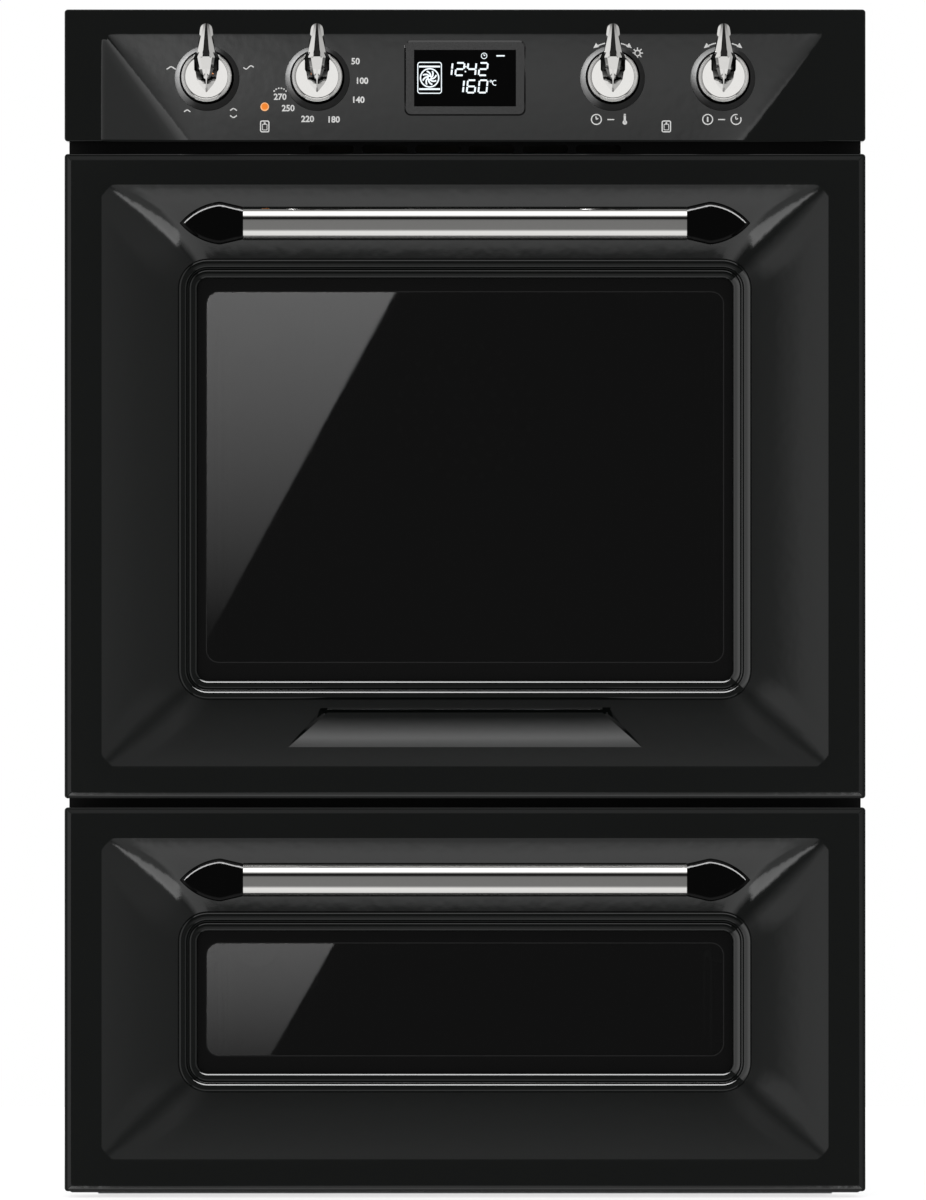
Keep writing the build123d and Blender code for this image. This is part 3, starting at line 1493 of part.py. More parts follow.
pieces = {
    "base_panel": base_panel.part,
    "side_panels": make_side_panels(),
    "top_cover": top_cover.part,
    "back_cover": back_cover.part,
    "front_frame": make_front_frame(),
    "divider_plate": divider_plate.part,
    "main_cavity": make_cavity(main_oven),
    "lower_cavity": make_cavity(lower_oven),
    "insulation": group(*(make_blanket(oven) for oven in ovens)),
    "fan_cover": fan_cover.part,
    "convection_fan": convection_fan.part,
    "ring_element": ring_element.part,
    "fan_motor": fan_motor.part,
    "grill_elements": group(*(make_grill(oven) for oven in ovens)),
    "shelf_ladders": group(main_ladders, lower_ladders),
    "door_gaskets": group(*(make_gasket(oven) for oven in ovens)),
    "lamp_holders": group(*holders),
    "lamp_lenses": group(*domes),
    "blower_housing": blower_housing.part,
    "blower_wheel": blower_wheel.part,
    "blower_motor": blower_motor.part,
    "control_panel": control_panel.part,
    "display_bezel": display_bezel.part,
    "display_glass": display_glass.part,
    "control_boards": group(control_boards.part),
    "indicator_lens": lamp_lens.part,
    "knob_rings": group(*(make_ring(x) for x in knob_xs)),
    "rotary_switches": group(*(make_switch(x, False) for x in knob_xs[:2])),
    "encoders": group(*(make_switch(x, True) for x in knob_xs[2:])),
    "terminal_block": terminal_block.part,
    "casing_screws": group(casing_screws.part),
    "hinge_arms": group(*(make_hinge_arms(door) for door in doors)),
    "hinge_receivers": group(*(make_receivers(door) for door in doors)),
    "main_door_front": make_door_front(main_door, wedge=True),
    "main_door_bead": make_bead(main_door),
    "main_outer_glass": slab(main_door.opening.offset(pane_lap), recess_depth + skin, rail_front),
    "main_middle_glass": make_middle_pane(main_door),
    "main_inner_glass": make_inner_pane(main_door),
    "main_door_rails": make_rails(main_door, rail_back),
    "main_hinge_cases": make_hinge_cases(main_door),
    "main_handle_bar": make_handle_bar(main_door),
    "main_handle_caps": make_handle_caps(main_door),
    "lower_door_front": make_door_front(lower_door, wedge=False),
    "lower_door_bead": make_bead(lower_door),
    "lower_outer_glass": slab(lower_door.opening.offset(pane_lap), recess_depth + skin, rail_front),
    "lower_inner_glass": make_inner_pane(lower_door),
    "lower_door_rails": make_rails(lower_door, rail_back),
    "lower_hinge_cases": make_hinge_cases(lower_door),
    "lower_handle_bar": make_handle_bar(lower_door),
    "lower_handle_caps": make_handle_caps(lower_door),
}
for name, x in zip(("selector", "thermostat", "temperature", "function"), knob_xs):
    pieces[f"{name}_knob"] = make_knob(x)
    pieces[f"{name}_shaft"] = make_shaft(x)
for name, x in zip(("temperature", "function"), knob_xs[2:]):
    pieces[f"{name}_rotor"] = make_rotor(x)

for name, piece in pieces.items():
    piece.label = name
    export_step(piece, f"parts/{name}.step")
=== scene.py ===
# %% [markdown]
# # A built-in double oven
# A black enamelled front with a control panel, a large fan oven above and a small static oven below.
# The CAD model is loaded as a fixed frame. Each cell below adds one finish or one piece on it, and says
# what it is on the real oven, how it could be made and why it is made this way here.

import json

import bpy
import numpy as np
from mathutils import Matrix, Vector

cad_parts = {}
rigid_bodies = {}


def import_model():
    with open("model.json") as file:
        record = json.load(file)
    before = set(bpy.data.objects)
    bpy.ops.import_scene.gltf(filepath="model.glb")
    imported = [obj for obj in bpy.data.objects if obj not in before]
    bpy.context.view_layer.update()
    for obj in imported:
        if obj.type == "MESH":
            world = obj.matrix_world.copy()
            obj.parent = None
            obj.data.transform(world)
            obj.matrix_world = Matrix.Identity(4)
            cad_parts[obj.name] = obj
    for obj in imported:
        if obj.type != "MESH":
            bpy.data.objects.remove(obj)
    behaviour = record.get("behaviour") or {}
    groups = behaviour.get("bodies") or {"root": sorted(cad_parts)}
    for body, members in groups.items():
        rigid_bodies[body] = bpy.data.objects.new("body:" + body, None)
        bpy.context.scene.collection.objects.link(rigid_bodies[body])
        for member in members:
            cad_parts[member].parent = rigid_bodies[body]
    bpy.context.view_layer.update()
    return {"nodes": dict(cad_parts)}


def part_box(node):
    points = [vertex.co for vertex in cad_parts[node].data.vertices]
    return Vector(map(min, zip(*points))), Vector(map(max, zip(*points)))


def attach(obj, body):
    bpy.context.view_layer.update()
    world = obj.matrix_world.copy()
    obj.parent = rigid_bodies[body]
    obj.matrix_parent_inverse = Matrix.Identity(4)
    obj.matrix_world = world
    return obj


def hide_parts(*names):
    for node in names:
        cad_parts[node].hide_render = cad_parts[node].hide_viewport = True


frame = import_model()
slot_of = {name: node.material_slots[0].material.name for name, node in frame["nodes"].items()}
for imported in list(bpy.data.materials):
    bpy.data.materials.remove(imported)

# %% [markdown]
# ## Shader maths as Python
# A finish is a network of nodes. Wiring each Math node by hand hides the formula, so a small class wraps an
# output socket and overloads the operators: `0.1 + 0.2 * noise` adds the Math nodes that it says. Every
# other node comes from one method, which sets the node first and its sockets afterwards.


# %% Wire
class Wire:
    """An output socket of one network, with Python's operators as Math nodes."""

    def __init__(self, network, socket):
        self.network = network
        self.socket = socket

    def math(self, operation, a, b=0.0):
        return self.network.node("ShaderNodeMath", {"operation": operation}, {0: a, 1: b})

    def __add__(self, other):
        return self.math("ADD", self, other)

    def __sub__(self, other):
        return self.math("SUBTRACT", self, other)

    def __rsub__(self, other):
        return self.math("SUBTRACT", other, self)

    def __mul__(self, other):
        return self.math("MULTIPLY", self, other)

    def __truediv__(self, other):
        return self.math("DIVIDE", self, other)

    def __pow__(self, other):
        return self.math("POWER", self, other)

    def __gt__(self, other):
        return self.math("GREATER_THAN", self, other)

    def __lt__(self, other):
        return self.math("LESS_THAN", self, other)

    def __abs__(self):
        return self.math("ABSOLUTE", self)

    def at_least(self, other):
        return self.math("MAXIMUM", self, other)

    def angle_from(self, other):
        """The angle whose tangent is self / other."""
        return self.math("ARCTAN2", self, other)

    __radd__ = __add__
    __rmul__ = __mul__


# %% Network
class Network:
    """A node tree and the few ways in which this script adds to it."""

    def __init__(self, tree):
        self.nodes = tree.nodes
        self.links = tree.links

    def put(self, socket, value):
        if isinstance(value, Wire):
            self.links.new(value.socket, socket)
        elif hasattr(socket.default_value, "__len__"):
            size = len(socket.default_value)
            socket.default_value = (*value, 1.0)[:size]
        else:
            socket.default_value = value

    def node(self, kind, settings=None, inputs=None, output=0):
        """Adds a node, sets it, then fills its sockets, and returns one of its outputs."""
        made = self.nodes.new(kind)
        for key, value in (settings or {}).items():
            setattr(made, key, value)
        for key, value in (inputs or {}).items():
            self.put(made.inputs[key], value)
        return Wire(self, made.outputs[output])

    def axes(self, vector):
        """The three parts of a vector."""
        split = self.node("ShaderNodeSeparateXYZ", inputs={0: vector}).socket.node
        return [Wire(self, output) for output in split.outputs]

    def curve(self, value, stops, peak=1.0):
        """Reads a broken line through (place, level) stops; levels may go up to peak."""
        low, high = stops[0][0], stops[-1][0]
        share = self.node(
            "ShaderNodeMapRange", inputs={"Value": value, "From Min": low, "From Max": high}
        )
        made = self.node("ShaderNodeValToRGB", inputs={0: share}).socket.node
        marks = made.color_ramp.elements
        for _ in stops[2:]:
            marks.new(0.5)
        for mark, (place, level) in zip(marks, stops):
            mark.position = (place - low) / (high - low)
            mark.color = (level / peak,) * 3 + (1.0,)
        return self.node("ShaderNodeSeparateColor", inputs={0: Wire(self, made.outputs[0])}) * peak

    def blend(self, factor, a, b):
        """a where factor is 0 and b where it is 1, as plain numbers."""
        return self.node("ShaderNodeMix", inputs={0: factor, 2: a, 3: b})


# %% Finish
class Finish(Network):
    """One procedural material."""

    def __init__(self, name):
        self.material = bpy.data.materials.new(name)
        self.material.use_nodes = True
        super().__init__(self.material.node_tree)
        self.shader = self.nodes["Principled BSDF"]
        self.principled = Wire(self, self.shader.outputs[0])

    def surface(self, **values):
        """Constants and varying inputs of the shader, by socket name with _ for a space."""
        for key, value in values.items():
            self.put(self.shader.inputs[key.replace("_", " ")], value)
        return self

    def place(self):
        return self.node("ShaderNodeTexCoord", output="Object")

    def noise(self, scale, detail=2.0, stretch=(1, 1, 1)):
        """Noise about scale cells to the metre, squeezed along each axis by stretch."""
        place = self.node("ShaderNodeMapping", inputs={"Vector": self.place(), "Scale": stretch})
        return self.node("ShaderNodeTexNoise", None, {"Vector": place, "Scale": scale, "Detail": detail})

    def cells(self, scale):
        """A colour for each Voronoi cell, about scale cells to the metre."""
        return self.node("ShaderNodeTexVoronoi", None, {"Vector": self.place(), "Scale": scale}, "Color")

    def mix(self, factor, a, b):
        return self.node("ShaderNodeMix", {"data_type": "RGBA"}, {"Factor": factor, 6: a, 7: b}, 2)

    def show(self, shader):
        """Makes that shader the surface, in place of the Principled one."""
        self.links.new(shader.socket, self.nodes["Material Output"].inputs["Surface"])
        return self

    def bump(self, height, strength, distance):
        inputs = {"Height": height, "Strength": strength, "Distance": distance}
        return self.surface(Normal=self.node("ShaderNodeBump", None, inputs))


print("shader helpers ready")

# %% [markdown]
# ## Black vitreous enamel
# The fronts are pressed steel with a glass coat fired on. It is almost black with a very slight green cast,
# mirror-like, and it has a faint waviness (orange peel) that breaks long reflections. A plain glossy black
# would look like plastic, so the waviness and a slow change of roughness come from noise.


# %% Enamel
def enamel(name, colour, roughness, peel, index=1.42):
    """Colour and roughness drift by a few percent; bump height is a slow wave plus a fine one."""
    finish = Finish(name)
    drift = finish.noise(9.0)
    dust = finish.noise(900.0, 4.0)
    paler = tuple(1.35 * channel for channel in colour)
    finish.surface(
        Base_Color=finish.mix(drift, colour, paler),
        Roughness=roughness + 0.015 * drift + 0.01 * dust,
        IOR=index,
    )
    return finish.bump(finish.noise(110.0, 1.0) + 0.15 * dust, peel, 0.0001)


black_enamel = enamel("black_enamel", (0.0016, 0.0020, 0.0018), 0.035, 0.25)
cavity_enamel = enamel("cavity_enamel", (0.016, 0.016, 0.017), 0.3, 0.6)
black_gloss = enamel("black_gloss", (0.0006, 0.0006, 0.0006), 0.03, 0.05, 1.2)
# The front frame is near black and matt, which also paints the deep shade in the narrow gaps round the doors and
# panel.
frame_black = enamel("frame_black", (0.002, 0.002, 0.002), 0.55, 0.3)
print("enamels:", black_enamel.material.name, cavity_enamel.material.name)

# %% [markdown]
# ## Metals
# Polished chrome for knobs and bars, brushed steel for the fan, galvanised sheet for the casing. Brushing is
# noise squeezed a hundredfold along one axis; spangle is a pattern of flat cells, each with its own tone.


# %% Metal finishes
def metal(name, colour, roughness, stretch=(1, 1, 1), streak=0.03, scale=400.0):
    """Roughness and colour vary with noise that is drawn out into streaks."""
    finish = Finish(name)
    streaks = finish.noise(scale, 3.0, stretch)
    darker = tuple((1 - 4 * streak) * channel for channel in colour)
    finish.surface(
        Base_Color=finish.mix(streaks, darker, colour),
        Metallic=1.0,
        Roughness=roughness + streak * streaks,
    )
    return finish.bump(streaks, 0.08, 0.0001)


def galvanised(name):
    """Spangles: each cell of a Voronoi pattern has its own brightness and roughness."""
    finish = Finish(name)
    tone = finish.node("ShaderNodeSeparateColor", inputs={0: finish.cells(130.0)}, output=0)
    haze = finish.noise(14.0)
    finish.surface(
        Base_Color=finish.mix(0.6 * tone + 0.4 * haze, (0.43, 0.45, 0.47), (0.62, 0.64, 0.65)),
        Metallic=1.0,
        Roughness=0.3 + 0.16 * tone,
    )
    return finish.bump(tone, 0.1, 0.0001)


polished_chrome = metal("polished_chrome", (0.80, 0.79, 0.77), 0.03, (1, 1, 1), 0.01)
shaft_steel = metal("shaft_steel", (0.55, 0.55, 0.55), 0.25, (40, 1, 40))
fan_steel = metal("fan_steel", (0.46, 0.46, 0.46), 0.32, (1, 1, 30))
wire_chrome = metal("wire_chrome", (0.62, 0.62, 0.62), 0.18, (1, 1, 1))
hinge_steel = metal("hinge_steel", (0.50, 0.50, 0.49), 0.34, (1, 1, 20))
heating_tube = metal("heating_tube", (0.16, 0.15, 0.14), 0.45, (1, 1, 1), 0.08)
motor_grey = metal("motor_grey", (0.40, 0.41, 0.42), 0.42, (1, 1, 1))
blower_aluminium = metal("blower_aluminium", (0.66, 0.67, 0.68), 0.3, (1, 30, 30))
galvanised_casing = galvanised("galvanised_casing")
print("metals ready")

# %% [markdown]
# ## Moulded and fibrous materials
# Mineral wool, seals, ceramic, circuit board and plastics each get the pattern that tells them apart.


# %% Moulded and fibrous finishes
def plain(name, colour, paler, roughness, scale, bump, **more):
    """A moulded or fibrous finish: two tones mixed by noise, which also makes the bump."""
    finish = Finish(name)
    grain = finish.noise(scale, 5.0)
    finish.surface(Base_Color=finish.mix(grain, colour, paler), Roughness=roughness + 0.1 * grain, **more)
    return finish.bump(grain, bump, 0.0005)


mineral_wool = plain("mineral_wool", (0.42, 0.36, 0.24), (0.66, 0.60, 0.46), 0.8, 220.0, 0.8)
seal = plain("seal", (0.05, 0.05, 0.05), (0.12, 0.12, 0.12), 0.7, 700.0, 0.7)
ceramic = plain("ceramic", (0.62, 0.60, 0.55), (0.72, 0.70, 0.66), 0.5, 500.0, 0.2)
black_collar = plain("black_collar", (0.003, 0.003, 0.003), (0.005, 0.005, 0.005), 0.08, 600.0, 0.02)
switch_plastic = plain("switch_plastic", (0.05, 0.05, 0.055), (0.08, 0.08, 0.085), 0.4, 500.0, 0.1)
board_green = plain("board_green", (0.01, 0.10, 0.035), (0.015, 0.16, 0.06), 0.4, 300.0, 0.1)
display_black = plain("display_black", (0.0005, 0.0005, 0.0006), (0.001, 0.001, 0.001), 0.02, 500.0, 0.0, IOR=1.2)


# %% Knob rings and indicator lens
def satin_ring(name, nose):
    """Satin grey-black sides; the front, past y = nose in metres, is painted deep black and matt as the shade that
    the disc casts on it.
    """
    finish = Finish(name)
    _, along, _ = finish.axes(finish.place())
    grain = finish.noise(600.0)
    side = finish.mix(grain, (0.022, 0.022, 0.022), (0.032, 0.032, 0.032))
    finish.surface(Base_Color=side, Roughness=0.42 + 0.1 * grain)
    # A black diffuse over the ring's front: painted shade where the disc shades the ring, kept dark under the
    # lamp.
    painted_disc_shade = finish.node("ShaderNodeBsdfDiffuse", None, {"Color": (0.001, 0.001, 0.001)})
    return finish.show(finish.node("ShaderNodeMixShader", None, {0: along < nose, 1: finish.principled, 2: painted_disc_shade}))


# The ring's front behind the disc is painted black, as the disc's shade on it.
RING_NOSE = 0.0019  # metres of the ring's front that lie in the shade of the disc
ring_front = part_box("knob_rings")[0][1]
knob_ring_satin = satin_ring("knob_ring_satin", ring_front + RING_NOSE)


LENS_MIDDLE = 0.0024  # metres, radius of the deeper spot


def lamp_lens(name, x, z):
    """A lens whose middle is deeper orange than its bright rim; x and z are its centre in metres."""
    finish = Finish(name)
    across, _, up = finish.axes(finish.place())
    off = ((across - x) ** 2 + (up - z) ** 2) ** 0.5
    tone = finish.mix((off > LENS_MIDDLE) * 0.9 + 0.1 * finish.noise(500.0), (0.80, 0.20, 0.01), (1.0, 0.52, 0.25))
    finish.surface(Base_Color=tone, Roughness=0.12, Emission_Color=tone, Emission_Strength=0.3)
    return finish


lens_low, lens_high = (np.array(corner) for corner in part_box("indicator_lens"))
orange_lens = lamp_lens("orange_lens", *((lens_low + lens_high) / 2)[[0, 2]].tolist())

# %% [markdown]
# ## Glass
# A pane mirrors more at a glancing angle, so it is a Fresnel mix. The outer panes are printed black round the
# clear window, with a satin enamel that is fired on, so their border is a third layer with its own mask.


# %% Glass
def glass(name, tint, printed=None):
    """Glass as a Fresnel mix of a tinted see-through layer and a mirror-like one; printed gives the masks."""
    finish = Finish(name)
    finish.surface(Roughness=0.4, IOR=1.25)
    clear = finish.node("ShaderNodeBsdfTransparent", None, {"Color": tint})
    ripple = finish.noise(30.0)
    mirror = finish.node("ShaderNodeBsdfGlossy", None, {"Roughness": 0.005 + 0.004 * ripple})
    edge = finish.node("ShaderNodeFresnel", None, {"IOR": 1.4})
    pane = finish.node("ShaderNodeMixShader", None, {0: edge, 1: clear, 2: mirror})
    if printed is not None:
        border, rim = printed(finish)
        # The rim round the clear window is a paler black: a painted highlight of the glass edge.
        finish.surface(Base_Color=finish.mix(rim, (0.002, 0.002, 0.002), (0.016, 0.016, 0.016)))
        pane = finish.node("ShaderNodeMixShader", None, {0: border, 1: pane, 2: finish.principled})
    return finish.show(pane)


# WINDOW_EDGE_HIGHLIGHT is the width of the thin paler line round the clear window, a painted highlight.
WINDOW_HALF, WINDOW_RADIUS, WINDOW_EDGE_HIGHLIGHT = 0.1926, 0.009, 0.0007  # metres, the part that is not printed
MAIN_WINDOW, LOWER_WINDOW = (0.3986, 0.6745), (0.1050, 0.1885)  # its lower and upper edge
BETWEEN_DOORS = 0.3


def window_border(finish):
    """1 outside a rounded rectangle, found from the distance to its inner corner points; and its thin rim, a
    painted highlight of the glass edge.
    """
    x, _, z = finish.axes(finish.place())
    upper = z > BETWEEN_DOORS
    middle = finish.blend(upper, sum(LOWER_WINDOW) / 2, sum(MAIN_WINDOW) / 2)
    reach = finish.blend(upper, LOWER_WINDOW[1] - LOWER_WINDOW[0], MAIN_WINDOW[1] - MAIN_WINDOW[0]) / 2
    aside = (abs(x) - (WINDOW_HALF - WINDOW_RADIUS)).at_least(0)
    over = (abs(z - middle) - reach + WINDOW_RADIUS).at_least(0)
    distance = (aside * aside + over * over) ** 0.5
    return distance > WINDOW_RADIUS, distance < WINDOW_RADIUS + WINDOW_EDGE_HIGHLIGHT


clear_glass = glass("clear_glass", (0.80, 0.82, 0.81))
printed_glass = glass("printed_glass", (0.45, 0.45, 0.45), window_border)
print("glass ready")

# %% Give every CAD node its finish
finishes = {
    finish.material.name: finish
    for finish in (
        black_enamel, cavity_enamel, black_gloss, frame_black, polished_chrome, shaft_steel, fan_steel,
        wire_chrome, hinge_steel, heating_tube, motor_grey, blower_aluminium, galvanised_casing,
        mineral_wool, seal, ceramic, black_collar, switch_plastic, board_green, display_black, orange_lens,
        clear_glass, printed_glass,
    )
}
for name, node in frame["nodes"].items():
    node.data.materials.clear()
    node.data.materials.append(finishes[slot_of[name]].material)
frame["nodes"]["knob_rings"].data.materials[0] = knob_ring_satin.material
print(len(slot_of), "nodes in", len(set(slot_of.values())), "finishes")

# %% [markdown]
# ## Surfaces from grids of points
# The pressed and moulded pieces are surfaces over a grid: one direction runs round a rounded rectangle or
# across the panel, the other follows the profile. One function turns any such grid into a mesh, so that each
# piece below is only its own formula. Lengths in the cells are millimetres in the frame's axes.

# %% Grids and meshes
MM = 0.001


def box(node):
    """Lowest and highest corner of a CAD node in millimetres."""
    low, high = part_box(node)
    return np.array(low) / MM, np.array(high) / MM


def grid_faces(rows, columns, round_rows=False, round_columns=False):
    """Corner numbers of the quads of a grid, which may close on itself in either direction."""
    row, column = np.meshgrid(
        np.arange(rows - (not round_rows)), np.arange(columns - (not round_columns)), indexing="ij"
    )
    right, up = (column + 1) % columns, (row + 1) % rows
    quads = (row * columns + column, row * columns + right, up * columns + right, up * columns + column)
    return np.stack(quads, axis=-1).reshape(-1, 4)


def placed(name, data):
    """A new object in the scene."""
    made = bpy.data.objects.new(name, data)
    bpy.context.scene.collection.objects.link(made)
    return made


def piece(name, points, faces, body, finish, smooth=True):
    """A mesh object that rides on a body of the frame; print and light belong to no slot of the record."""
    mesh = bpy.data.meshes.new(name)
    faces = faces if isinstance(faces, list) else faces.tolist()
    mesh.from_pydata((np.asarray(points).reshape(-1, 3) * MM).tolist(), [], faces)
    mesh.update()
    mesh.polygons.foreach_set("use_smooth", np.full(len(mesh.polygons), smooth))
    mesh.materials.append(finish.material)
    made = placed(name, mesh)
    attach(made, body)
    finish.material.name in finishes
    print(f"{name}: {len(mesh.polygons)} faces")
    return made


def round_corner_loop(half_width, low, high, radius, corner=12, side=12):
    """(x, z) once round a rounded rectangle, anticlockwise from the front; every loop has as many points."""
    run = (1 - np.cos(np.linspace(0, np.pi, side)))[1:-1, None] / 2
    arcs = []
    for quarter, (x, z) in enumerate(((1, 1), (-1, 1), (-1, 0), (1, 0))):
        turn = np.linspace(quarter, quarter + 1, corner) * np.pi / 2
        centre = np.array([x * (half_width - radius), high - radius if z else low + radius])
        arcs.append(centre + radius * np.column_stack((np.cos(turn), np.sin(turn))))
    loop = []
    for arc, following in zip(arcs, arcs[1:] + arcs[:1]):
        loop += [arc, arc[-1] + run * (following[0] - arc[-1])]
    return np.concatenate(loop)


def rings(profile):
    """Stacks loops: each entry is half width, low, high, radius and y. Wound to face the viewer."""
    stack = []
    for half_width, low, high, radius, y in profile:
        loop = round_corner_loop(half_width, low, high, radius)
        stack.append(np.column_stack((loop[:, 0], np.full(len(loop), y), loop[:, 1])))
    return np.array(stack)


# %% [markdown]
# ## Door fronts
# Each front is one pressing: a flat border, four slopes that sink towards the window, and rounded corners
# that grow from a tight radius outside to a wide one inside. A flat slope would mirror a single spot of the
# studio and look painted, while drawn steel always springs into a slight crown, which is what makes the soft
# gradients. So the enamel skin is its own surface, a hair in front of the steel:
# `depth(t) = D (s(t) - c t (1 - t))`, with s a softened ramp and c the crown.

# %% Door skins
COAT = 0.06  # enamel in front of the steel
BORDER_SIDE, BORDER_LOW, BORDER_HIGH = 27.2, 23.5, 22.5
RECESS_DEPTH, RECESS_RADIUS, BEAD_RADIUS = 10.0, 10.0, 22.0
CROWN, EDGE_SOFTNESS = 0.2, 0.02
CORNER_EXTRA = 14.0  # the corners are rounder half way down the slope
DOORS = "main", "lower"
face_y = box("main_door_front")[0][1]


def soft_ramp(t, softness):
    """0 for t below 0 and t above it, with a rounded bend: (t + sqrt(t^2 + w^2)) / 2."""
    return (t + np.sqrt(t * t + softness * softness)) / 2


def slope_depth(t):
    inside = np.clip(t, 0, 1.1)
    return RECESS_DEPTH * (soft_ramp(t, EDGE_SOFTNESS) - CROWN * inside * (1 - inside)) - COAT


def recess_of(door):
    (_, _, low), (half, _, high) = box(f"{door}_door_front")
    return np.array([half - BORDER_SIDE, low + BORDER_LOW, high - BORDER_HIGH, RECESS_RADIUS])


def bead_of(door):
    (_, _, low), (half, _, high) = box(f"{door}_door_bead")
    return np.array([half, low, high, BEAD_RADIUS])


def door_skin(door):
    (_, _, low), (half, _, high) = box(f"{door}_door_front")
    profile = [
        (half - inset, low + inset, high - inset, 1.2, face_y + depth)
        for inset, depth in ((1.25, 0.03), (1.5, -COAT), (5.0, -COAT))
    ]
    outer, inner = recess_of(door), bead_of(door)
    near = np.array([-0.25, -0.1, -0.05, -0.03, -0.018, -0.009, 0, 0.009, 0.018, 0.03, 0.05])
    for t in np.concatenate((near, np.linspace(0.08, 1.03, 16))):
        extra = CORNER_EXTRA * np.sin(np.pi * np.clip(t, 0, 1)) ** 0.8
        profile.append((*(outer + t * (inner - outer) + (0, 0, 0, extra)), face_y + slope_depth(t)))
    points = rings(profile)
    faces = grid_faces(len(points), points.shape[1], round_columns=True)
    return piece(f"{door}_door_skin", points, faces, f"{door}_door", black_enamel)


for door in DOORS:
    door_skin(door)

# %% [markdown]
# ## Window beads
# A trim frame with two rounded ridges and a groove between them holds the outer glass. Its section is two half
# ellipses, swept round the same loop as the pressing, and it is closed behind. It is made in three parts, since
# the handle bar hides the strip light from the upper part, and the right one faces a bright wall.

# %% Beads
BEAD_WIDTH, BEAD_RISE, BEAD_GROOVE = 14.5, 3.2, 0.7


def bead_section(steps=12):
    """(offset inwards, depth) from the outer foot over both ridges and back behind."""
    ridge = (BEAD_WIDTH - BEAD_GROOVE) / 4
    turn = np.linspace(np.pi, 0, steps)
    arc = np.column_stack((ridge * np.cos(turn), -BEAD_RISE * np.sin(turn) ** 0.8))
    first = arc + (ridge, RECESS_DEPTH)
    second = arc + (BEAD_WIDTH - ridge, RECESS_DEPTH)
    first[-1, 1] = second[0, 1] = RECESS_DEPTH - 1.0
    behind = np.array([(BEAD_WIDTH, RECESS_DEPTH + 1), (0, RECESS_DEPTH + 1)])
    return np.concatenate((first, second, behind))


BEAD_PARTS = {"upper": (5, 39), "lower": (39, 72), "right": (72, 93)}  # from and to which point of the loop


def door_bead(door, part):
    """One part of the frame, cut at the corners' diagonals and halfway down the left side."""
    half, low, high, radius = bead_of(door)
    profile = [
        (half - offset, low + offset, high - offset, radius - offset, face_y + depth)
        for offset, depth in bead_section()
    ]
    points = rings(profile)
    first, last = BEAD_PARTS[part]
    points = points[:, np.arange(first, last + 1) % points.shape[1]]
    faces = grid_faces(*points.shape[:2], round_rows=True)
    made = piece(f"{door}_bead_{part}", points, faces, f"{door}_door", black_enamel)
    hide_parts(f"{door}_door_bead")
    return made


beads = {part: [door_bead(door, part) for door in DOORS] for part in BEAD_PARTS}

# %% [markdown]
# ## Wedge under the window
# The pressing has a raised wedge on its lower slope, where such ovens carry a name. It stays bare here. Its face
# is nearly upright at the top and rolls forward-down towards a crisp lower edge, so it goes from dark to bright.

# %% Wedge
WEDGE_LOW, WEDGE_HIGH = 14.0, 44.5  # above the recess's lower edge
WEDGE_HALF_LOW, WEDGE_HALF_HIGH = 134.0, 109.0
WEDGE_FLANK, WEDGE_TILT, WEDGE_TOP = 5.0, 15.0, 4.0  # flank's width, lower edge's tilt, height of the roof
WEDGE_SUNK = 0.3  # flanks and roof end behind the slope


def wedge():
    """Face depth is the integral of a tilt that falls from WEDGE_TILT degrees at the lower edge to none."""
    _, recess_low, _, _ = recess_of("main")
    slope = (bead_of("main") - recess_of("main"))[1]
    share = np.linspace(0, 1, 14)
    tilt = np.tan(np.radians(WEDGE_TILT)) * (1 - share)
    rise = WEDGE_HIGH - WEDGE_LOW
    foot = RECESS_DEPTH * (WEDGE_LOW + rise * share) / slope
    face = foot[0] - 0.1 - rise * np.concatenate(([0], np.cumsum((tilt[1:] + tilt[:-1]) / 2 * share[1])))
    rows = []
    for s, deep, front in zip(share, foot, face):
        half = WEDGE_HALF_LOW + s * (WEDGE_HALF_HIGH - WEDGE_HALF_LOW)
        inner = half - WEDGE_FLANK * (0.3 + s)
        xs = np.concatenate(([-half], np.linspace(-inner, inner, 9), [half]))
        depths = np.array([deep + WEDGE_SUNK] + [front] * 9 + [deep + WEDGE_SUNK])
        z = recess_low + WEDGE_LOW + s * (rise - WEDGE_TOP)
        rows.append(np.column_stack((xs, face_y + depths, np.full(11, z))))
    top = rows[-1].copy()
    top[:, 1] = face_y + foot[-1] + WEDGE_SUNK
    top[:, 2] += WEDGE_TOP
    points = np.array(rows + [top])
    made = piece("main_door_wedge", points, grid_faces(*points.shape[:2]), "main_door", black_enamel)
    crisp = made.modifiers.new("crisp edges", "EDGE_SPLIT")
    crisp.split_angle = np.radians(22)


wedge()

# %% [markdown]
# ## Control panel
# The panel's recess starts sharp under the top border and leans back towards its lower edge. Its two sides are
# mitred, so the depth is the lesser of the lean and of each side slope, blended over a few millimetres.

# %% Panel skin
PANEL_TOP_BORDER, PANEL_SIDE_RUN, PANEL_DEPTH = 17.6, 56.0, 10.0
MITRE_BLEND, PANEL_SOFTNESS, PANEL_CROWN = 0.045, 0.008, 0.1
(_, _, panel_low), (panel_half, _, panel_high) = box("control_panel")
panel_run = panel_high - PANEL_TOP_BORDER - panel_low


def panel_depth(x, z):
    """Depth behind the border: the softened lesser of both shares, (a + b - sqrt((a - b)^2 + w)) / 2."""
    lean = (panel_high - PANEL_TOP_BORDER - z) / panel_run
    side = (panel_half - BORDER_SIDE - np.abs(x)) / PANEL_SIDE_RUN
    least = (lean + side - np.sqrt((lean - side) ** 2 + MITRE_BLEND * np.clip(lean, 0, 1))) / 2
    inside = np.clip(least, 0, 1)
    return PANEL_DEPTH * (soft_ramp(least, PANEL_SOFTNESS) - PANEL_CROWN * inside * (1 - inside)) - COAT


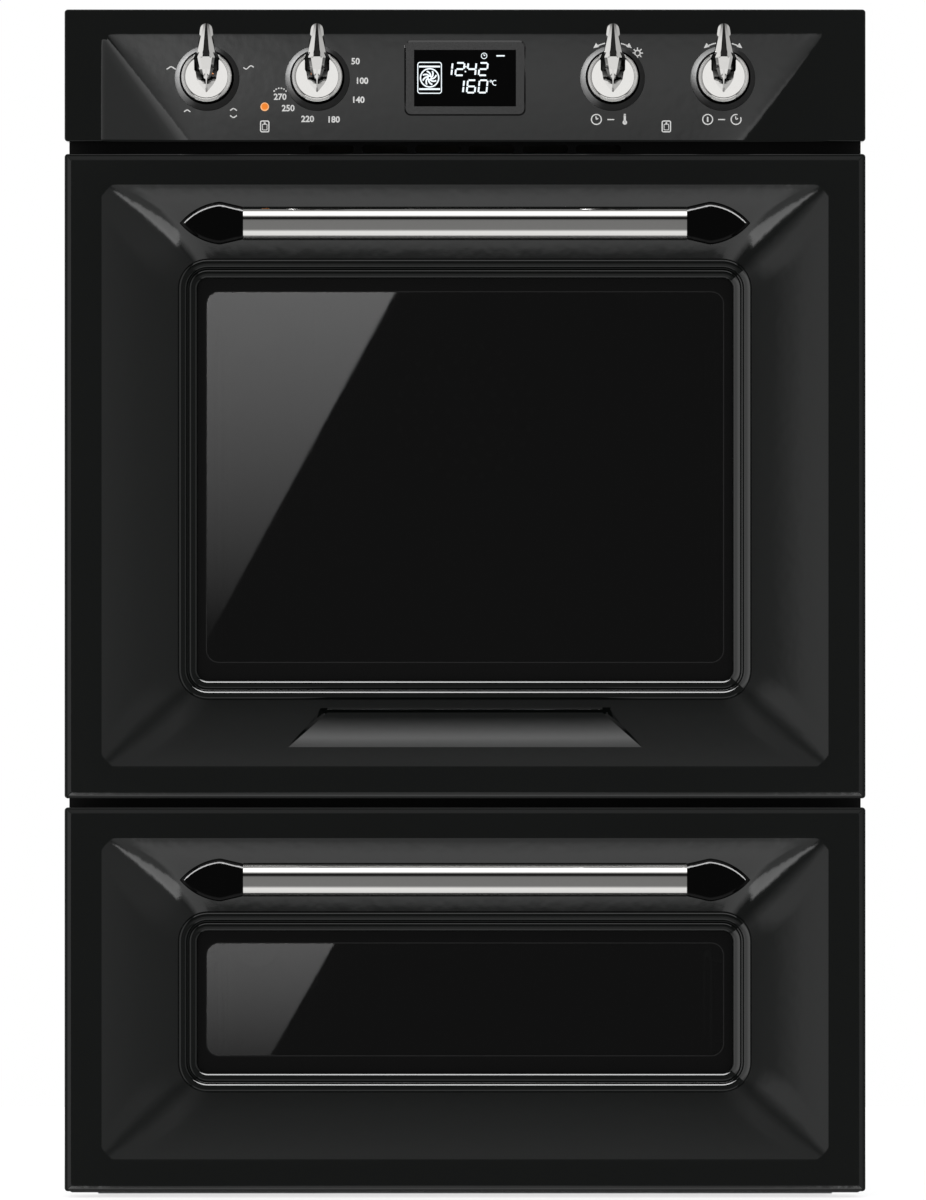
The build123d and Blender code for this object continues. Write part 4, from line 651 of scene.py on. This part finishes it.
def panel_skin():
    inset = 1.4
    xs = np.linspace(-panel_half + inset, panel_half - inset, 301)
    zs = np.linspace(panel_low + inset, panel_high - inset, 97)
    x, z = np.meshgrid(xs, zs)
    points = np.stack((x, face_y + panel_depth(x, z), z), axis=-1)
    faces = grid_faces(*x.shape)
    low, high = box("display_bezel")
    middle = points.reshape(-1, 3)[faces].mean(axis=1)
    behind_screen = (np.abs(middle[:, 0]) < high[0] - 4) & (np.abs(middle[:, 2] - (low + high)[2] / 2) < 24)
    piece("control_panel_skin", points, faces[~behind_screen], "chassis", black_enamel)


panel_skin()
print("display front y:", box("display_glass")[0][1], "panel there:", face_y + panel_depth(0.0, 834.0))

# %% [markdown]
# ## Knob faces
# The chromed disc under each lever is turned and polished: a flat face, a hollow that climbs to a rolled rim,
# and the rim's fall to the edge. Only such rounded steps give chrome its black and white lines, so each face
# is a surface of revolution, a few hundredths in front of the CAD disc.

# %% Knob faces
FACE_PROFILE = (  # radius, rise in front of the disc
    (9.0, 0.06), (15.6, 0.06), (16.0, 0.10), (16.35, 0.22), (16.6, 0.42), (16.8, 0.70), (16.95, 0.95),
    (17.15, 1.12), (17.45, 1.20), (17.8, 1.21), (18.1, 1.14), (18.35, 0.96), (18.5, 0.66), (18.64, 0.10),
)
DISC_FRONT, DISC_RADIUS = 19.2, 18.6


def knob_face(name, body):
    (low_x, _, low_z), (high_x, _, _) = box(f"{name}_knob")
    radius, rise = np.array(FACE_PROFILE).T
    turn = np.linspace(0, -2 * np.pi, 96, endpoint=False)
    x = (low_x + high_x) / 2 + np.outer(radius, np.cos(turn))
    z = low_z + DISC_RADIUS + np.outer(radius, np.sin(turn))
    y = np.repeat(face_y - DISC_FRONT - rise[:, None], len(turn), axis=1)
    faces = grid_faces(*x.shape, round_columns=True)
    return piece(f"{name}_face", np.stack((x, y, z), axis=-1), faces, body, polished_chrome)


knob_faces = [
    knob_face("selector", "selector"), knob_face("thermostat", "thermostat"),
    knob_face("temperature", "temperature_knob"), knob_face("function", "function_knob"),
]

# %% [markdown]
# ## Printed marks
# The panel is screen printed in off-white: plain numbers round the thermostat, arcs for the heating modes,
# arrows, clocks and little ovens. Each mark is a set of flat ribbons along a path, drawn in the plane of the
# panel and laid on its leaning face. Numbers come from a font, turned into a mesh first.

# %% Ribbons and symbols
DIGIT_BOLDNESS = 0.03


def ribbon(path, width, closed=False):
    """Quads along a path of (x, z) points, half the width to each side."""
    path = np.asarray(path, float)
    before = np.roll(path, 1, axis=0) if closed else np.vstack((path[0], path[:-1]))
    after = np.roll(path, -1, axis=0) if closed else np.vstack((path[1:], path[-1]))
    along = (after - before) / np.linalg.norm(after - before, axis=1, keepdims=True)
    aside = width / 2 * np.column_stack((-along[:, 1], along[:, 0]))
    points = np.stack((path - aside, path + aside), axis=1).reshape(-1, 2)
    return points, grid_faces(len(path), 2, round_rows=closed).tolist()


def arc(x, z, radius, start, stop, width, steps=24):
    turn = np.radians(np.linspace(start, stop, steps))
    return ribbon(np.column_stack((x + radius * np.cos(turn), z + radius * np.sin(turn))), width)


def ring(x, z, radius, width):
    turn = np.linspace(0, 2 * np.pi, 32, endpoint=False)
    return ribbon(np.column_stack((x + radius * np.cos(turn), z + radius * np.sin(turn))), width, closed=True)


def dot(x, z, radius):
    return ring(x, z, radius / 2, radius)


def frame_of(x, z, half_width, half_height, width, radius=1.0):
    loop = round_corner_loop(half_width, z - half_height, z + half_height, radius, corner=5, side=3)
    return ribbon(loop + (x, 0), width, closed=True)


def arrow_head(x, z, heading, size):
    """A triangle whose tip lies at x, z and points along heading, in degrees."""
    turn = np.radians(heading) + np.array([0, 0.86, -0.86]) * np.pi
    reach = size * np.array([0, 1, 1])
    return np.column_stack((x + reach * np.cos(turn), z + reach * np.sin(turn))), [[0, 1, 2]]


def number(text, x, z, height):
    """Flat digits of that height, centred on x, z."""
    letters = bpy.data.curves.new("digits", "FONT")
    letters.body, letters.offset, letters.resolution_u = text, DIGIT_BOLDNESS, 3
    holder = bpy.data.objects.new("digits", letters)
    flat = bpy.data.meshes.new_from_object(holder)
    points = np.array([vertex.co[:2] for vertex in flat.vertices])
    faces = [list(polygon.vertices) for polygon in flat.polygons]
    bpy.data.objects.remove(holder)
    bpy.data.meshes.remove(flat)
    low, high = points.min(axis=0), points.max(axis=0)
    return (points - (low + high) / 2) * height / (high - low)[1] + (x, z), faces


def print_marks(name, marks, depth_at, body, finish):
    """All marks of one place as one mesh, each point on the surface given by depth_at(x, z)."""
    points, faces, first = [], [], 0
    for outline, corners in marks:
        points.append(outline)
        faces += [[first + corner for corner in face] for face in corners]
        first += len(outline)
    x, z = np.concatenate(points).T
    made = piece(name, np.column_stack((x, depth_at(x, z), z)), faces, body, finish, smooth=False)
    made.visible_shadow = False
    return made


# %% Signs
ink = plain("ink", (0.80, 0.80, 0.79), (0.88, 0.88, 0.87), 0.45, 900.0, 0.02)
LINE = 0.85  # line width
INK_RISE = 0.08  # ink in front of what it is printed on
ARROW_RADIUS = 26.3
knob_at = {
    name: (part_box(f"{name}_shaft")[0][0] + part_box(f"{name}_shaft")[1][0]) / 2 / MM
    for name in ("selector", "thermostat", "temperature", "function")
}
(_, _, axis_low), (_, _, axis_high) = box("selector_shaft")
knob_height = (axis_low + axis_high) / 2


def heat_arc(x, z, half_width, upwards=1):
    """The usual sign for a heating element: a shallow bow with turned-out ends."""
    s = np.linspace(-1, 1, 17)
    return ribbon(np.column_stack((x + half_width * s, z + upwards * 0.26 * half_width * np.cos(3.0 * s))), LINE)


def oven_sign(x, z):
    return [frame_of(x, z, 3.1, 4.0, LINE, 1.0), frame_of(x, z - 0.5, 1.7, 2.1, 0.5, 0.3), dot(x, z + 2.5, 0.7)]


def turning_arrows(x):
    """A bow over the knob with an arrow head at each end."""
    marks = [arc(x, knob_height, ARROW_RADIUS, 62, 118, LINE)]
    for angle, heading in ((57, -38), (123, 218)):
        turn = np.radians(angle)
        tip = (x + ARROW_RADIUS * np.cos(turn), knob_height + ARROW_RADIUS * np.sin(turn))
        marks.append(arrow_head(*tip, heading, 4.4))
    return marks


def clock_sign(x, z, radius, width=LINE):
    """A ring, then its two hands."""
    marks = [ring(x, z, radius, width)]
    for angle, share in ((100, 0.62), (30, 0.45)):
        turn = np.radians(angle)
        end = (x + share * radius * np.cos(turn), z + share * radius * np.sin(turn))
        marks.append(ribbon([(x, z), end], width))
    return marks


# %% Panel print
DIAL_NUMBERS = (  # degrees Celsius, right of the thermostat's axis, above it
    ("50", 28.4, 12.4), ("100", 33.6, -2.1), ("140", 30.8, -16.2), ("180", 12.4, -30.8),
    ("220", -7.4, -30.4), ("250", -21.9, -22.4), ("270", -27.9, -14.0),
)


def panel_marks():
    """Heat signs at the selector, numbers at the thermostat, arrows, clocks and a thermometer at the others."""
    selector, thermostat, temperature, function = knob_at.values()
    z = knob_height
    marks = [
        heat_arc(selector - 26.8, z + 7.4, 3.4),
        heat_arc(selector - 14.9, z - 24.4, 2.4),
        heat_arc(selector + 19.6, z - 23.4, 2.6),
        heat_arc(selector + 19.6, z - 28.7, 2.6, -1),
    ]
    wave = np.linspace(-1, 1, 29)
    wavy = np.column_stack((selector + 30.9 + 3.8 * wave, z + 7.8 + 1.2 * np.sin(np.pi * wave)))
    marks.append(ribbon(wavy, LINE))
    for text, x, rise in DIAL_NUMBERS:
        marks.append(number(text, thermostat + x, z + rise, 4.9))
    for angle in range(35, 146, 22):
        turn = np.radians(angle)
        marks.append(dot(thermostat - 27.9 + 5.4 * np.cos(turn), z - 12.6 + 5.0 * np.sin(turn), 0.62))
    marks += oven_sign(-149.4, z - 36.0) + oven_sign(150.2, z - 36.0)
    marks += turning_arrows(temperature) + turning_arrows(function)
    for angle in range(0, 360, 45):
        turn = np.radians(angle)
        ray = np.outer((2.3, 4.1), (np.cos(turn), np.sin(turn)))
        marks.append(ribbon(ray + (temperature + 18.6, z + 18.4), 0.9))
    marks.append(ring(temperature + 18.6, z + 18.4, 2.0, 0.9))
    for x in (temperature - 1.2, function - 0.9):
        marks.append(ribbon([(x - 2.6, z - 30.9), (x + 2.6, z - 30.9)], LINE))
    marks += clock_sign(temperature - 12.0, z - 30.8, 3.7)
    bulb, tip = (temperature + 9.2, z - 33.0), (temperature + 9.2, z - 27.4)
    marks += [dot(*bulb, 1.7), ribbon([bulb, tip], 1.7), dot(*tip, 0.85)]
    x = function - 11.3
    marks += [ring(x, z - 30.8, 3.7, LINE), ribbon([(x, z - 28.9), (x, z - 32.7)], 1.1)]
    marks += [arc(function + 9.9, z - 30.8, 3.7, 75, 385, LINE), *clock_sign(function + 9.9, z - 30.8, 3.7)[1:]]
    return marks


print_marks("panel_print", panel_marks(), lambda x, z: face_y + panel_depth(x, z) - INK_RISE, "chassis", ink)

# %% [markdown]
# ## Display
# The screen is black glass over a lit segment display. The digits are seven-segment cells that lean a little;
# each segment is a short ribbon, and a digit is the list of segments that are lit.

# %% Display
glow = plain(
    "display_glow", (0.55, 0.60, 0.62), (0.62, 0.66, 0.68), 0.4, 900.0, 0.0,
    Emission_Color=(0.82, 0.90, 0.95), Emission_Strength=0.62,
)
SEGMENTS = {"0": "abcdef", "1": "bc", "2": "abged", "4": "fgbc", "6": "afgedc"}
SEGMENT_ENDS = {
    "a": ((0, 2), (1, 2)), "b": ((1, 2), (1, 1)), "c": ((1, 1), (1, 0)), "d": ((0, 0), (1, 0)),
    "e": ((0, 0), (0, 1)), "f": ((0, 1), (0, 2)), "g": ((0, 1), (1, 1)),
}
DIGIT_WIDTH, DIGIT_HEIGHT, DIGIT_LEAN = 6.0, 9.2, 0.10
(_, screen_y, screen_low), (_, _, screen_high) = box("display_glass")
screen_height = (screen_low + screen_high) / 2


def lit_digit(digit, x, z):
    marks = []
    for letter in SEGMENTS[digit]:
        ends = np.array(SEGMENT_ENDS[letter], float) - (0.5, 1.0)
        ends = ends * (DIGIT_WIDTH, DIGIT_HEIGHT / 2)
        ends = ends + 0.08 * (ends[::-1] - ends)
        ends[:, 0] += DIGIT_LEAN * ends[:, 1]
        marks.append(ribbon(ends + (x, z), 1.25))
    return marks


def fan_sign(x, z):
    marks = [frame_of(x, z, 8.8, 11.5, 0.7, 1.6), ring(x, z, 6.8, 1.0)]
    for rise in (-8.4, 8.4):
        marks.append(ribbon([(x - 7.9, z + rise), (x + 7.9, z + rise)], 1.3))
    reach = np.linspace(0.8, 5.4, 8)
    for blade in range(8):
        turn = blade * np.pi / 4 + 0.22 * reach
        marks.append(ribbon(np.column_stack((x + reach * np.cos(turn), z + reach * np.sin(turn))), 1.15))
    return marks


def display_marks():
    z = screen_height
    marks = fan_sign(-26.4, z - 0.1)
    for digit, x in zip("1242", (-12.7, -3.8, 5.0, 13.6)):
        marks += lit_digit(digit, x, z + 6.4)
    marks += [dot(0.3, z + 4.6, 0.6), dot(0.7, z + 8.2, 0.6)]
    for digit, x in zip("160", (-4.1, 4.7, 13.4)):
        marks += lit_digit(digit, x, z - 6.5)
    marks += [ring(19.3, z - 2.6, 0.7, 0.5), arc(22.3, z - 3.8, 1.8, 60, 300, 0.6)]
    marks += clock_sign(14.2, z + 16.3, 2.1, 0.5) + [ribbon([(23.4, z + 16.3), (29.6, z + 16.3)], 1.0)]
    return marks


print_marks("display_print", display_marks(), lambda x, z: np.full(len(x), screen_y - INK_RISE), "chassis", glow)

# %% [markdown]
# ## Camera and light
# The front is seen straight on from far away, so its verticals stay parallel.

# %% Camera
FRONT_SPAN = 0.8944  # height of the view at the fronts
CAMERA_DISTANCE = 9.0
camera_data = bpy.data.cameras.new("camera")
camera_data.sensor_width = 36.0
camera_data.lens = camera_data.sensor_width * CAMERA_DISTANCE / FRONT_SPAN
camera_data.clip_end = 100.0
camera = placed("camera", camera_data)
door_face = face_y * MM
camera.location = (-0.0015, door_face - CAMERA_DISTANCE, 0.4448)
camera.rotation_euler = (np.pi / 2, 0, 0)
bpy.context.scene.camera = camera
print("camera at", tuple(round(v, 3) for v in camera.location))

# %% [markdown]
# ## Studio sky
# The camera sees plain white, matt surfaces are lit evenly from all round, and polished ones see what a bar
# of chrome shows in such a studio: a strip light overhead, a dim room behind the camera, a pale ground in
# front and white walls at the sides. It is a broken line over the angle above the level view, in degrees.

# %% Sky
bpy.context.scene.view_settings.view_transform = "Standard"
SKY = (
    (-180, 1.0), (-140, 0.45), (-118, 0.2), (-104, 0.72), (-84, 0.9), (-60, 0.95), (-50, 0.45), (-42, 0.21),
    (18, 0.2), (26, 0.08), (31, 0.005), (38, 0.005), (46, 0.1), (54, 0.9), (60, 1.7), (84, 1.7), (92, 0.5),
    (101, 0.12), (112, 0.7), (127, 1.0), (180, 1.0),
)
SIDE_WALLS = ((-1, 0.9), (-0.75, 0.9), (-0.5, 0), (0.5, 0), (0.75, 0.55), (1, 0.55))  # over x
world = bpy.data.worlds.new("studio")
world.use_nodes = True
bpy.context.scene.world = world
sky = Network(world.node_tree)
across, along, up = sky.axes(sky.node("ShaderNodeTexCoord", output="Generated"))
height = up.angle_from(along * -1.0) * (180 / np.pi)
mirrored = sky.blend(abs(across) > 0.5, sky.curve(height, SKY, 2.0), sky.curve(across, SIDE_WALLS))
ray = sky.node("ShaderNodeLightPath").socket.node.outputs
polished = Wire(sky, ray["Is Glossy Ray"])
level = sky.blend(polished, 1.0, mirrored)
sky.put(sky.nodes["Background"].inputs["Strength"], sky.blend(Wire(sky, ray["Is Camera Ray"]), level, 1.0))
sky.put(sky.nodes["Background"].inputs["Color"], (1, 1, 1))

# %% [markdown]
# ## Soft boxes
# Black enamel shows only what it mirrors, so a studio sets white cards beside the camera and shades them
# from the metal. Each card here is an area light far in front, which only the listed pieces see, and its
# brightness is a formula over the direction: height above the level and turn to the right, in degrees.

# %% Soft boxes
CARD_DISTANCE = 30.0  # metres


def card(name, heights, turns, brightness, nodes):
    """An area light that covers these angles as seen from the oven; brightness(card, height, turn) paints it."""
    y = door_face - CARD_DISTANCE
    low, high = (CARD_DISTANCE * np.tan(np.radians(angle)) for angle in heights)
    left, right = (CARD_DISTANCE * np.tan(np.radians(angle)) for angle in turns)
    data = bpy.data.lights.new(name, "AREA")
    data.shape = "RECTANGLE"
    data.size, data.size_y = right - left, high - low
    data.energy = np.pi * data.size * data.size_y
    data.use_nodes = True
    made = placed(name, data)
    made.location = ((left + right) / 2, y, camera.location[2] + (low + high) / 2)
    made.rotation_euler = (np.pi / 2, 0, 0)
    made.visible_camera = made.visible_diffuse = made.visible_transmission = False
    tree = Network(data.node_tree)
    x, _, z = tree.axes(tree.node("ShaderNodeNewGeometry", output="Position"))
    up_angle = (z - camera.location[2]).angle_from(CARD_DISTANCE) * (180 / np.pi)
    turn_angle = x.angle_from(CARD_DISTANCE) * (180 / np.pi)
    tree.put(tree.nodes["Emission"].inputs["Strength"], brightness(tree, up_angle, turn_angle))
    seen_by = bpy.data.collections.new(name)
    for node in nodes:
        seen_by.objects.link(node)
    made.light_linking.receiver_collection = seen_by
    print(f"{name}: {data.size:.1f} by {data.size_y:.1f} m for {len(nodes)} pieces")


# %% [markdown]
# ## Cards for the doors
# A slope mirrors the card in the direction of twice its lean, so a tone at a place on the slope is a tone at an
# angle on the card. The tables below give tones over the share of a slope's width, from its outer edge inwards.

# %% Door cards
SPREAD = np.degrees(1 / CAMERA_DISTANCE + 1 / CARD_DISTANCE)  # degrees on a card per metre on the front
NEAREST, FARTHEST = 6.5, 28  # degrees from the corner between which a door's card is lit


def on_card(place, turned=0.0):
    """Where a point at that distance from the camera's axis mirrors the cards, if its face is turned."""
    return SPREAD * place + turned


def along_slope(levels, run, place, towards):
    """Levels over a slope's width as levels over card angle, for a slope of that run in millimetres."""
    stops = []
    for t, level in levels:
        lean = np.degrees(np.arctan(RECESS_DEPTH * (1 + CROWN * (2 * t - 1)) / run))
        stops.append((on_card(place, towards * 2 * lean), level))
    return sorted(stops)


UPPER = (
    (-3, 0.6), (0.0, 0.75), (0.05, 1.0), (0.14, 1.4), (0.25, 1.72), (0.35, 1.6), (0.75, 1.35), (0.87, 1.25),
    (0.93, 1.0), (0.99, 0.45), (1.05, 0.15), (1.5, 0.1),
)
UNDER = ((-3, 0.35), (0.1, 0.43), (0.33, 0.35), (0.55, 0.3), (0.8, 0.26), (1.0, 0.2), (1.5, 0.2))
AT_LEFT = ((-3, 0.35), (0.0, 0.4), (0.3, 0.33), (0.6, 0.25), (1.0, 0.2), (1.5, 0.2))
AT_RIGHT = ((-3, 0.7), (0.1, 0.85), (0.38, 0.77), (0.5, 0.58), (0.64, 0.42), (0.77, 0.25), (1.5, 0.1))
CRESCENT = ((55, 0), (58, 4.2), (63, 3.4), (72, 2.4), (79, 1.6), (84, 0))  # over the corner's angle
TO_SIDES = ((0, 1), (30, 1), (43, 0.25), (48, 0), (90, 0))
TO_ENDS = ((0, 0), (42, 0), (47, 0.25), (62, 1), (90, 1))
TO_TOP = ((0, 0), (60, 0), (62, 0.25), (70, 1), (90, 1))
TO_LIT_LEFT = ((0, 1), (40, 1), (58, 0.8), (62, 0), (90, 0))


# %% Formula of a door's card
def door_cards(door):
    """Brightness over direction for one pressed front.

    A direction is taken as seen from the corner: its distance r from the straight one tells how steep the
    face is, and its angle tells which way it leans, 0 for a side slope and 90 for the top or bottom one.
    """
    (half, low, high, _), (bead_half, bead_low, bead_high, _) = recess_of(door), bead_of(door)
    eye = camera.location[2]
    over, under_end = on_card(high * MM - eye), on_card(low * MM - eye)
    widths = {"upper": high - bead_high, "under": bead_low - low, "side": half - bead_half}
    upper, under = along_slope(UPPER, widths["upper"], 0, 1), along_slope(UNDER, widths["under"], 0, 1)
    left, right = along_slope(AT_LEFT, widths["side"], 0, 1), along_slope(AT_RIGHT, widths["side"], 0, 1)

    def brightness(tree, height, turn):
        facing_down = height < (over + under_end) / 2
        rise = (height - under_end).at_least(over - height)
        aside = abs(turn) + on_card(half * MM)
        r = (rise ** 2 + aside ** 2) ** 0.5
        angle = rise.angle_from(aside) * (180 / np.pi)
        at_left = turn > 0
        side = tree.blend(at_left, tree.curve(r, right), tree.curve(r, left))
        lit_left = tree.blend(at_left * facing_down, tree.curve(angle, TO_SIDES), tree.curve(angle, TO_LIT_LEFT))
        end = tree.blend(facing_down, tree.curve(r, under), tree.curve(r, upper, 2.0))
        to_end = tree.blend(facing_down, tree.curve(angle, TO_ENDS), tree.curve(angle, TO_TOP))
        corner = facing_down * (aside > 2 * on_card(half * MM) + 0.3) * (r < 18)
        level = side * lit_left + end * to_end + corner * tree.curve(angle, CRESCENT, 5.0)
        return level * (r > NEAREST) * (r < FARTHEST)

    return brightness


print(f"{SPREAD:.2f} degrees of card to each metre of front")

# %% [markdown]
# ## Cards for the panel, the wedge, the beads and the panes
# The panel's card is a slanted strip that its leaning face mirrors, and a second one that its left slope mirrors.
# The wedge rolls from dark to bright, the beads catch walls, and each pane shows a window's oblique edge.

# %% Other cards
PANEL_LEVELS = (
    (-16, 0.8), (-12.5, 1.0), (-11.7, 1.15), (-11.2, 1.25), (-10.4, 1.35), (-9.6, 1.2), (-9.2, 1.0), (-6, 0.4),
)
PANEL_LEFT_END = ((-3.0, 0.45), (-1.6, 0.5), (-1.2, 0.85), (-0.8, 1.0), (2.0, 1.0))
PANEL_BRIGHTER_LEFT = ((-2.6, 2.2), (-1.9, 2.0), (-1.3, 1.25), (-0.6, 1.02), (2.6, 0.92))
PANEL_RIGHT_END = ((-1.0, 1.0), (-0.25, 1.0), (0.2, 0.3), (0.5, 0.0), (1.0, 0.0))
PANEL_LEFT_SLOPE = ((2.35, 2.3), (5.5, 1.6), (9.0, 0.85), (15.0, 0.55), (24.0, 0.5))


def panel_cards(tree, height, turn):
    """The panel's card is brighter to the left, and both its ends slant; beside it is the left slope's card."""
    rise = 0.4 * (height + 12.5)
    level = tree.curve(height, PANEL_LEVELS, 2.0) * tree.curve(turn + rise, PANEL_LEFT_END)
    level = level * tree.curve(turn, PANEL_BRIGHTER_LEFT, 3.0)
    level = level * tree.curve(turn - 0.55 * rise - 1.6, PANEL_RIGHT_END) * (height < -6) * (abs(turn) < 3)
    beside = (turn - 0.3 * (height + 5).at_least(0) > 2.35) * (height < 7) * (height > -10)
    return level + beside * tree.curve(turn, PANEL_LEFT_SLOPE, 3.0)


WEDGE_LEVELS = (
    (-35, 1.5), (-29, 2.6), (-25.8, 3.4), (-22.4, 2.9), (-19.1, 2.15), (-15.8, 1.5), (-12.4, 0.9), (-8.8, 0.4),
    (-5.4, 0.05), (-2, 0.0),
)


# %% Cards for the beads and the panes
WALL_LEVELS = ((-60, 0.9), (-20, 1.3), (0, 1.5), (20, 2.0), (60, 2.2))  # over the turn


def side_wall(tree, height, turn):
    """Fades out towards the diagonal, where the parts of a bead meet."""
    steep = (abs(height) - 3).at_least(0) / (abs(turn) + 4)
    return tree.curve(turn, WALL_LEVELS, 3.0) * tree.curve(steep, ((0.45, 1.0), (0.9, 0.0)))


def dim_ground(tree, height, turn):
    """The pale ground as the upper beads see it, which fades out in the same way."""
    return 0.3 * tree.curve(abs(turn) / abs(height), ((0.5, 1.0), (0.9, 0.0)))


def even(brightness):
    """A card of one brightness."""
    return lambda tree, height, turn: brightness


def pane_card(start, end, levels):
    """A card whose edge is the line from start to end, as (turn, height); it lies to the left of that line."""
    (turn_a, height_a), (turn_b, height_b) = start, end

    def brightness(tree, height, turn):
        beyond = (turn - turn_a) * (height_b - height_a) - (height - height_a) * (turn_b - turn_a)
        return tree.curve(height, levels, 4.0) * (beyond > 0)

    return brightness


MAIN_PANE = pane_card((-0.432, 1.880), (-1.535, -0.156), ((-0.3, 0.1), (-0.156, 0.15), (1.88, 4.0)))
LOWER_PANE = pane_card((-0.814, -2.146), (-1.184, -2.794), ((-2.9, 0.6), (-2.794, 0.78), (-2.146, 2.9)))
print("formulas of the other cards ready")

# %% [markdown]
# ## Setting up the studio
# Every card gets the heights and turns it covers and the pieces that see it. Small mirror-like things in front of
# the enamel are kept out of its reflections, as a studio does by shading them.

# %% Place the cards
shown = dict(frame["nodes"])
pieces = bpy.data.objects
for door in DOORS:
    card(f"cards_for_the_{door}_door", (-35, 29), (-31, 29), door_cards(door), [pieces[f"{door}_door_skin"]])
panel_pieces = [pieces["control_panel_skin"], shown["display_bezel"]]
card("cards_for_the_panel", (-18, 10), (-5, 26), panel_cards, panel_pieces)
card("card_for_the_wedge", (-36, 0), (-6, 6), lambda tree, height, turn: tree.curve(height, WEDGE_LEVELS, 4.0),
     [pieces["main_door_wedge"]])
card("strip_for_the_beads", (42, 70), (-40, 40), even(20.0), beads["lower"])
card("wall_for_the_beads", (-50, 50), (-62, 62), side_wall, beads["right"])
card("ground_for_the_beads", (-62, -4), (-50, 50), dim_ground, beads["upper"])
card("strip_for_the_bezel", (-60, -25), (-50, 50), even(5.0), [shown["display_bezel"]])
card("wall_for_the_bezel", (-25, 25), (25, 60), even(5.0), [shown["display_bezel"]])
card("pane_for_the_main_window", (-4, 4), (-6, 2), MAIN_PANE, [shown["main_outer_glass"]])
card("pane_for_the_lower_window", (-5, 0), (-6, 2), LOWER_PANE, [shown["lower_outer_glass"]])
knobs = [shown[f"{name}_knob"] for name in knob_at] + knob_faces
card("card_for_the_knobs", (-9, 9), (-14, 14), even(0.8), knobs)

# %% A lamp for the knob rings
LAMP_PLACE, LAMP_AIM, LAMP_SIZE, LAMP_POWER = (-3.0, -0.5, 2.4), (3.0, 0.2, -1.57), 1.2, 1500.0
lamp_data = bpy.data.lights.new("lamp_for_the_rings", "AREA")
lamp_data.size, lamp_data.energy = LAMP_SIZE, LAMP_POWER
lamp = placed("lamp_for_the_rings", lamp_data)
lamp.location = LAMP_PLACE
lamp.rotation_euler = Vector(LAMP_AIM).to_track_quat("-Z", "Y").to_euler()
lamp.visible_camera = lamp.visible_transmission = False
lit_rings = bpy.data.collections.new("rings")
lit_rings.objects.link(shown["knob_rings"])
lamp.light_linking.receiver_collection = lit_rings

# %% The handle caps, and what the enamel doesn't mirror
caps = [shown[f"{door}_handle_caps"] for door in DOORS]
card("strip_for_the_caps", (38, 60), (-60, 60), even(60.0), caps)
unmirrored = caps + knobs + [shown["main_handle_bar"], shown["lower_handle_bar"]]
unmirrored += [pieces["panel_print"], pieces["display_print"]]
for thing in unmirrored:
    thing.visible_glossy = False
print(len(unmirrored), "pieces kept out of the reflections")

# %% [markdown]
# ## Ground
# A pale floor takes the oven's soft shadow. It is kept out of the mirrors, where the sky already has a ground.

# %% Floor
ground = Finish("ground")
ground.surface(
    Base_Color=ground.mix(ground.noise(3.0), (0.98, 0.98, 0.98), (0.995, 0.995, 0.995)), Roughness=0.9
)
glare = ground.node("ShaderNodeEmission", None, {"Strength": 1.4})
seen = ground.node("ShaderNodeLightPath", output="Is Camera Ray")
ground.show(ground.node("ShaderNodeMixShader", None, {0: 0.5 * seen, 1: ground.principled, 2: glare}))
FLOOR_SINK = 0.0005  # metres under the oven
corners = np.array([(-1.5, -1.5, 0), (1.5, -1.5, 0), (1.5, 1.3, 0), (-1.5, 1.3, 0)]) - (0, 0, FLOOR_SINK)
mesh = bpy.data.meshes.new("floor")
mesh.from_pydata(corners.tolist(), [], [(0, 1, 2, 3)])
mesh.materials.append(ground.material)
floor = placed("floor", mesh)
floor.visible_glossy = floor.visible_shadow = False
print("floor at z =", -FLOOR_SINK)
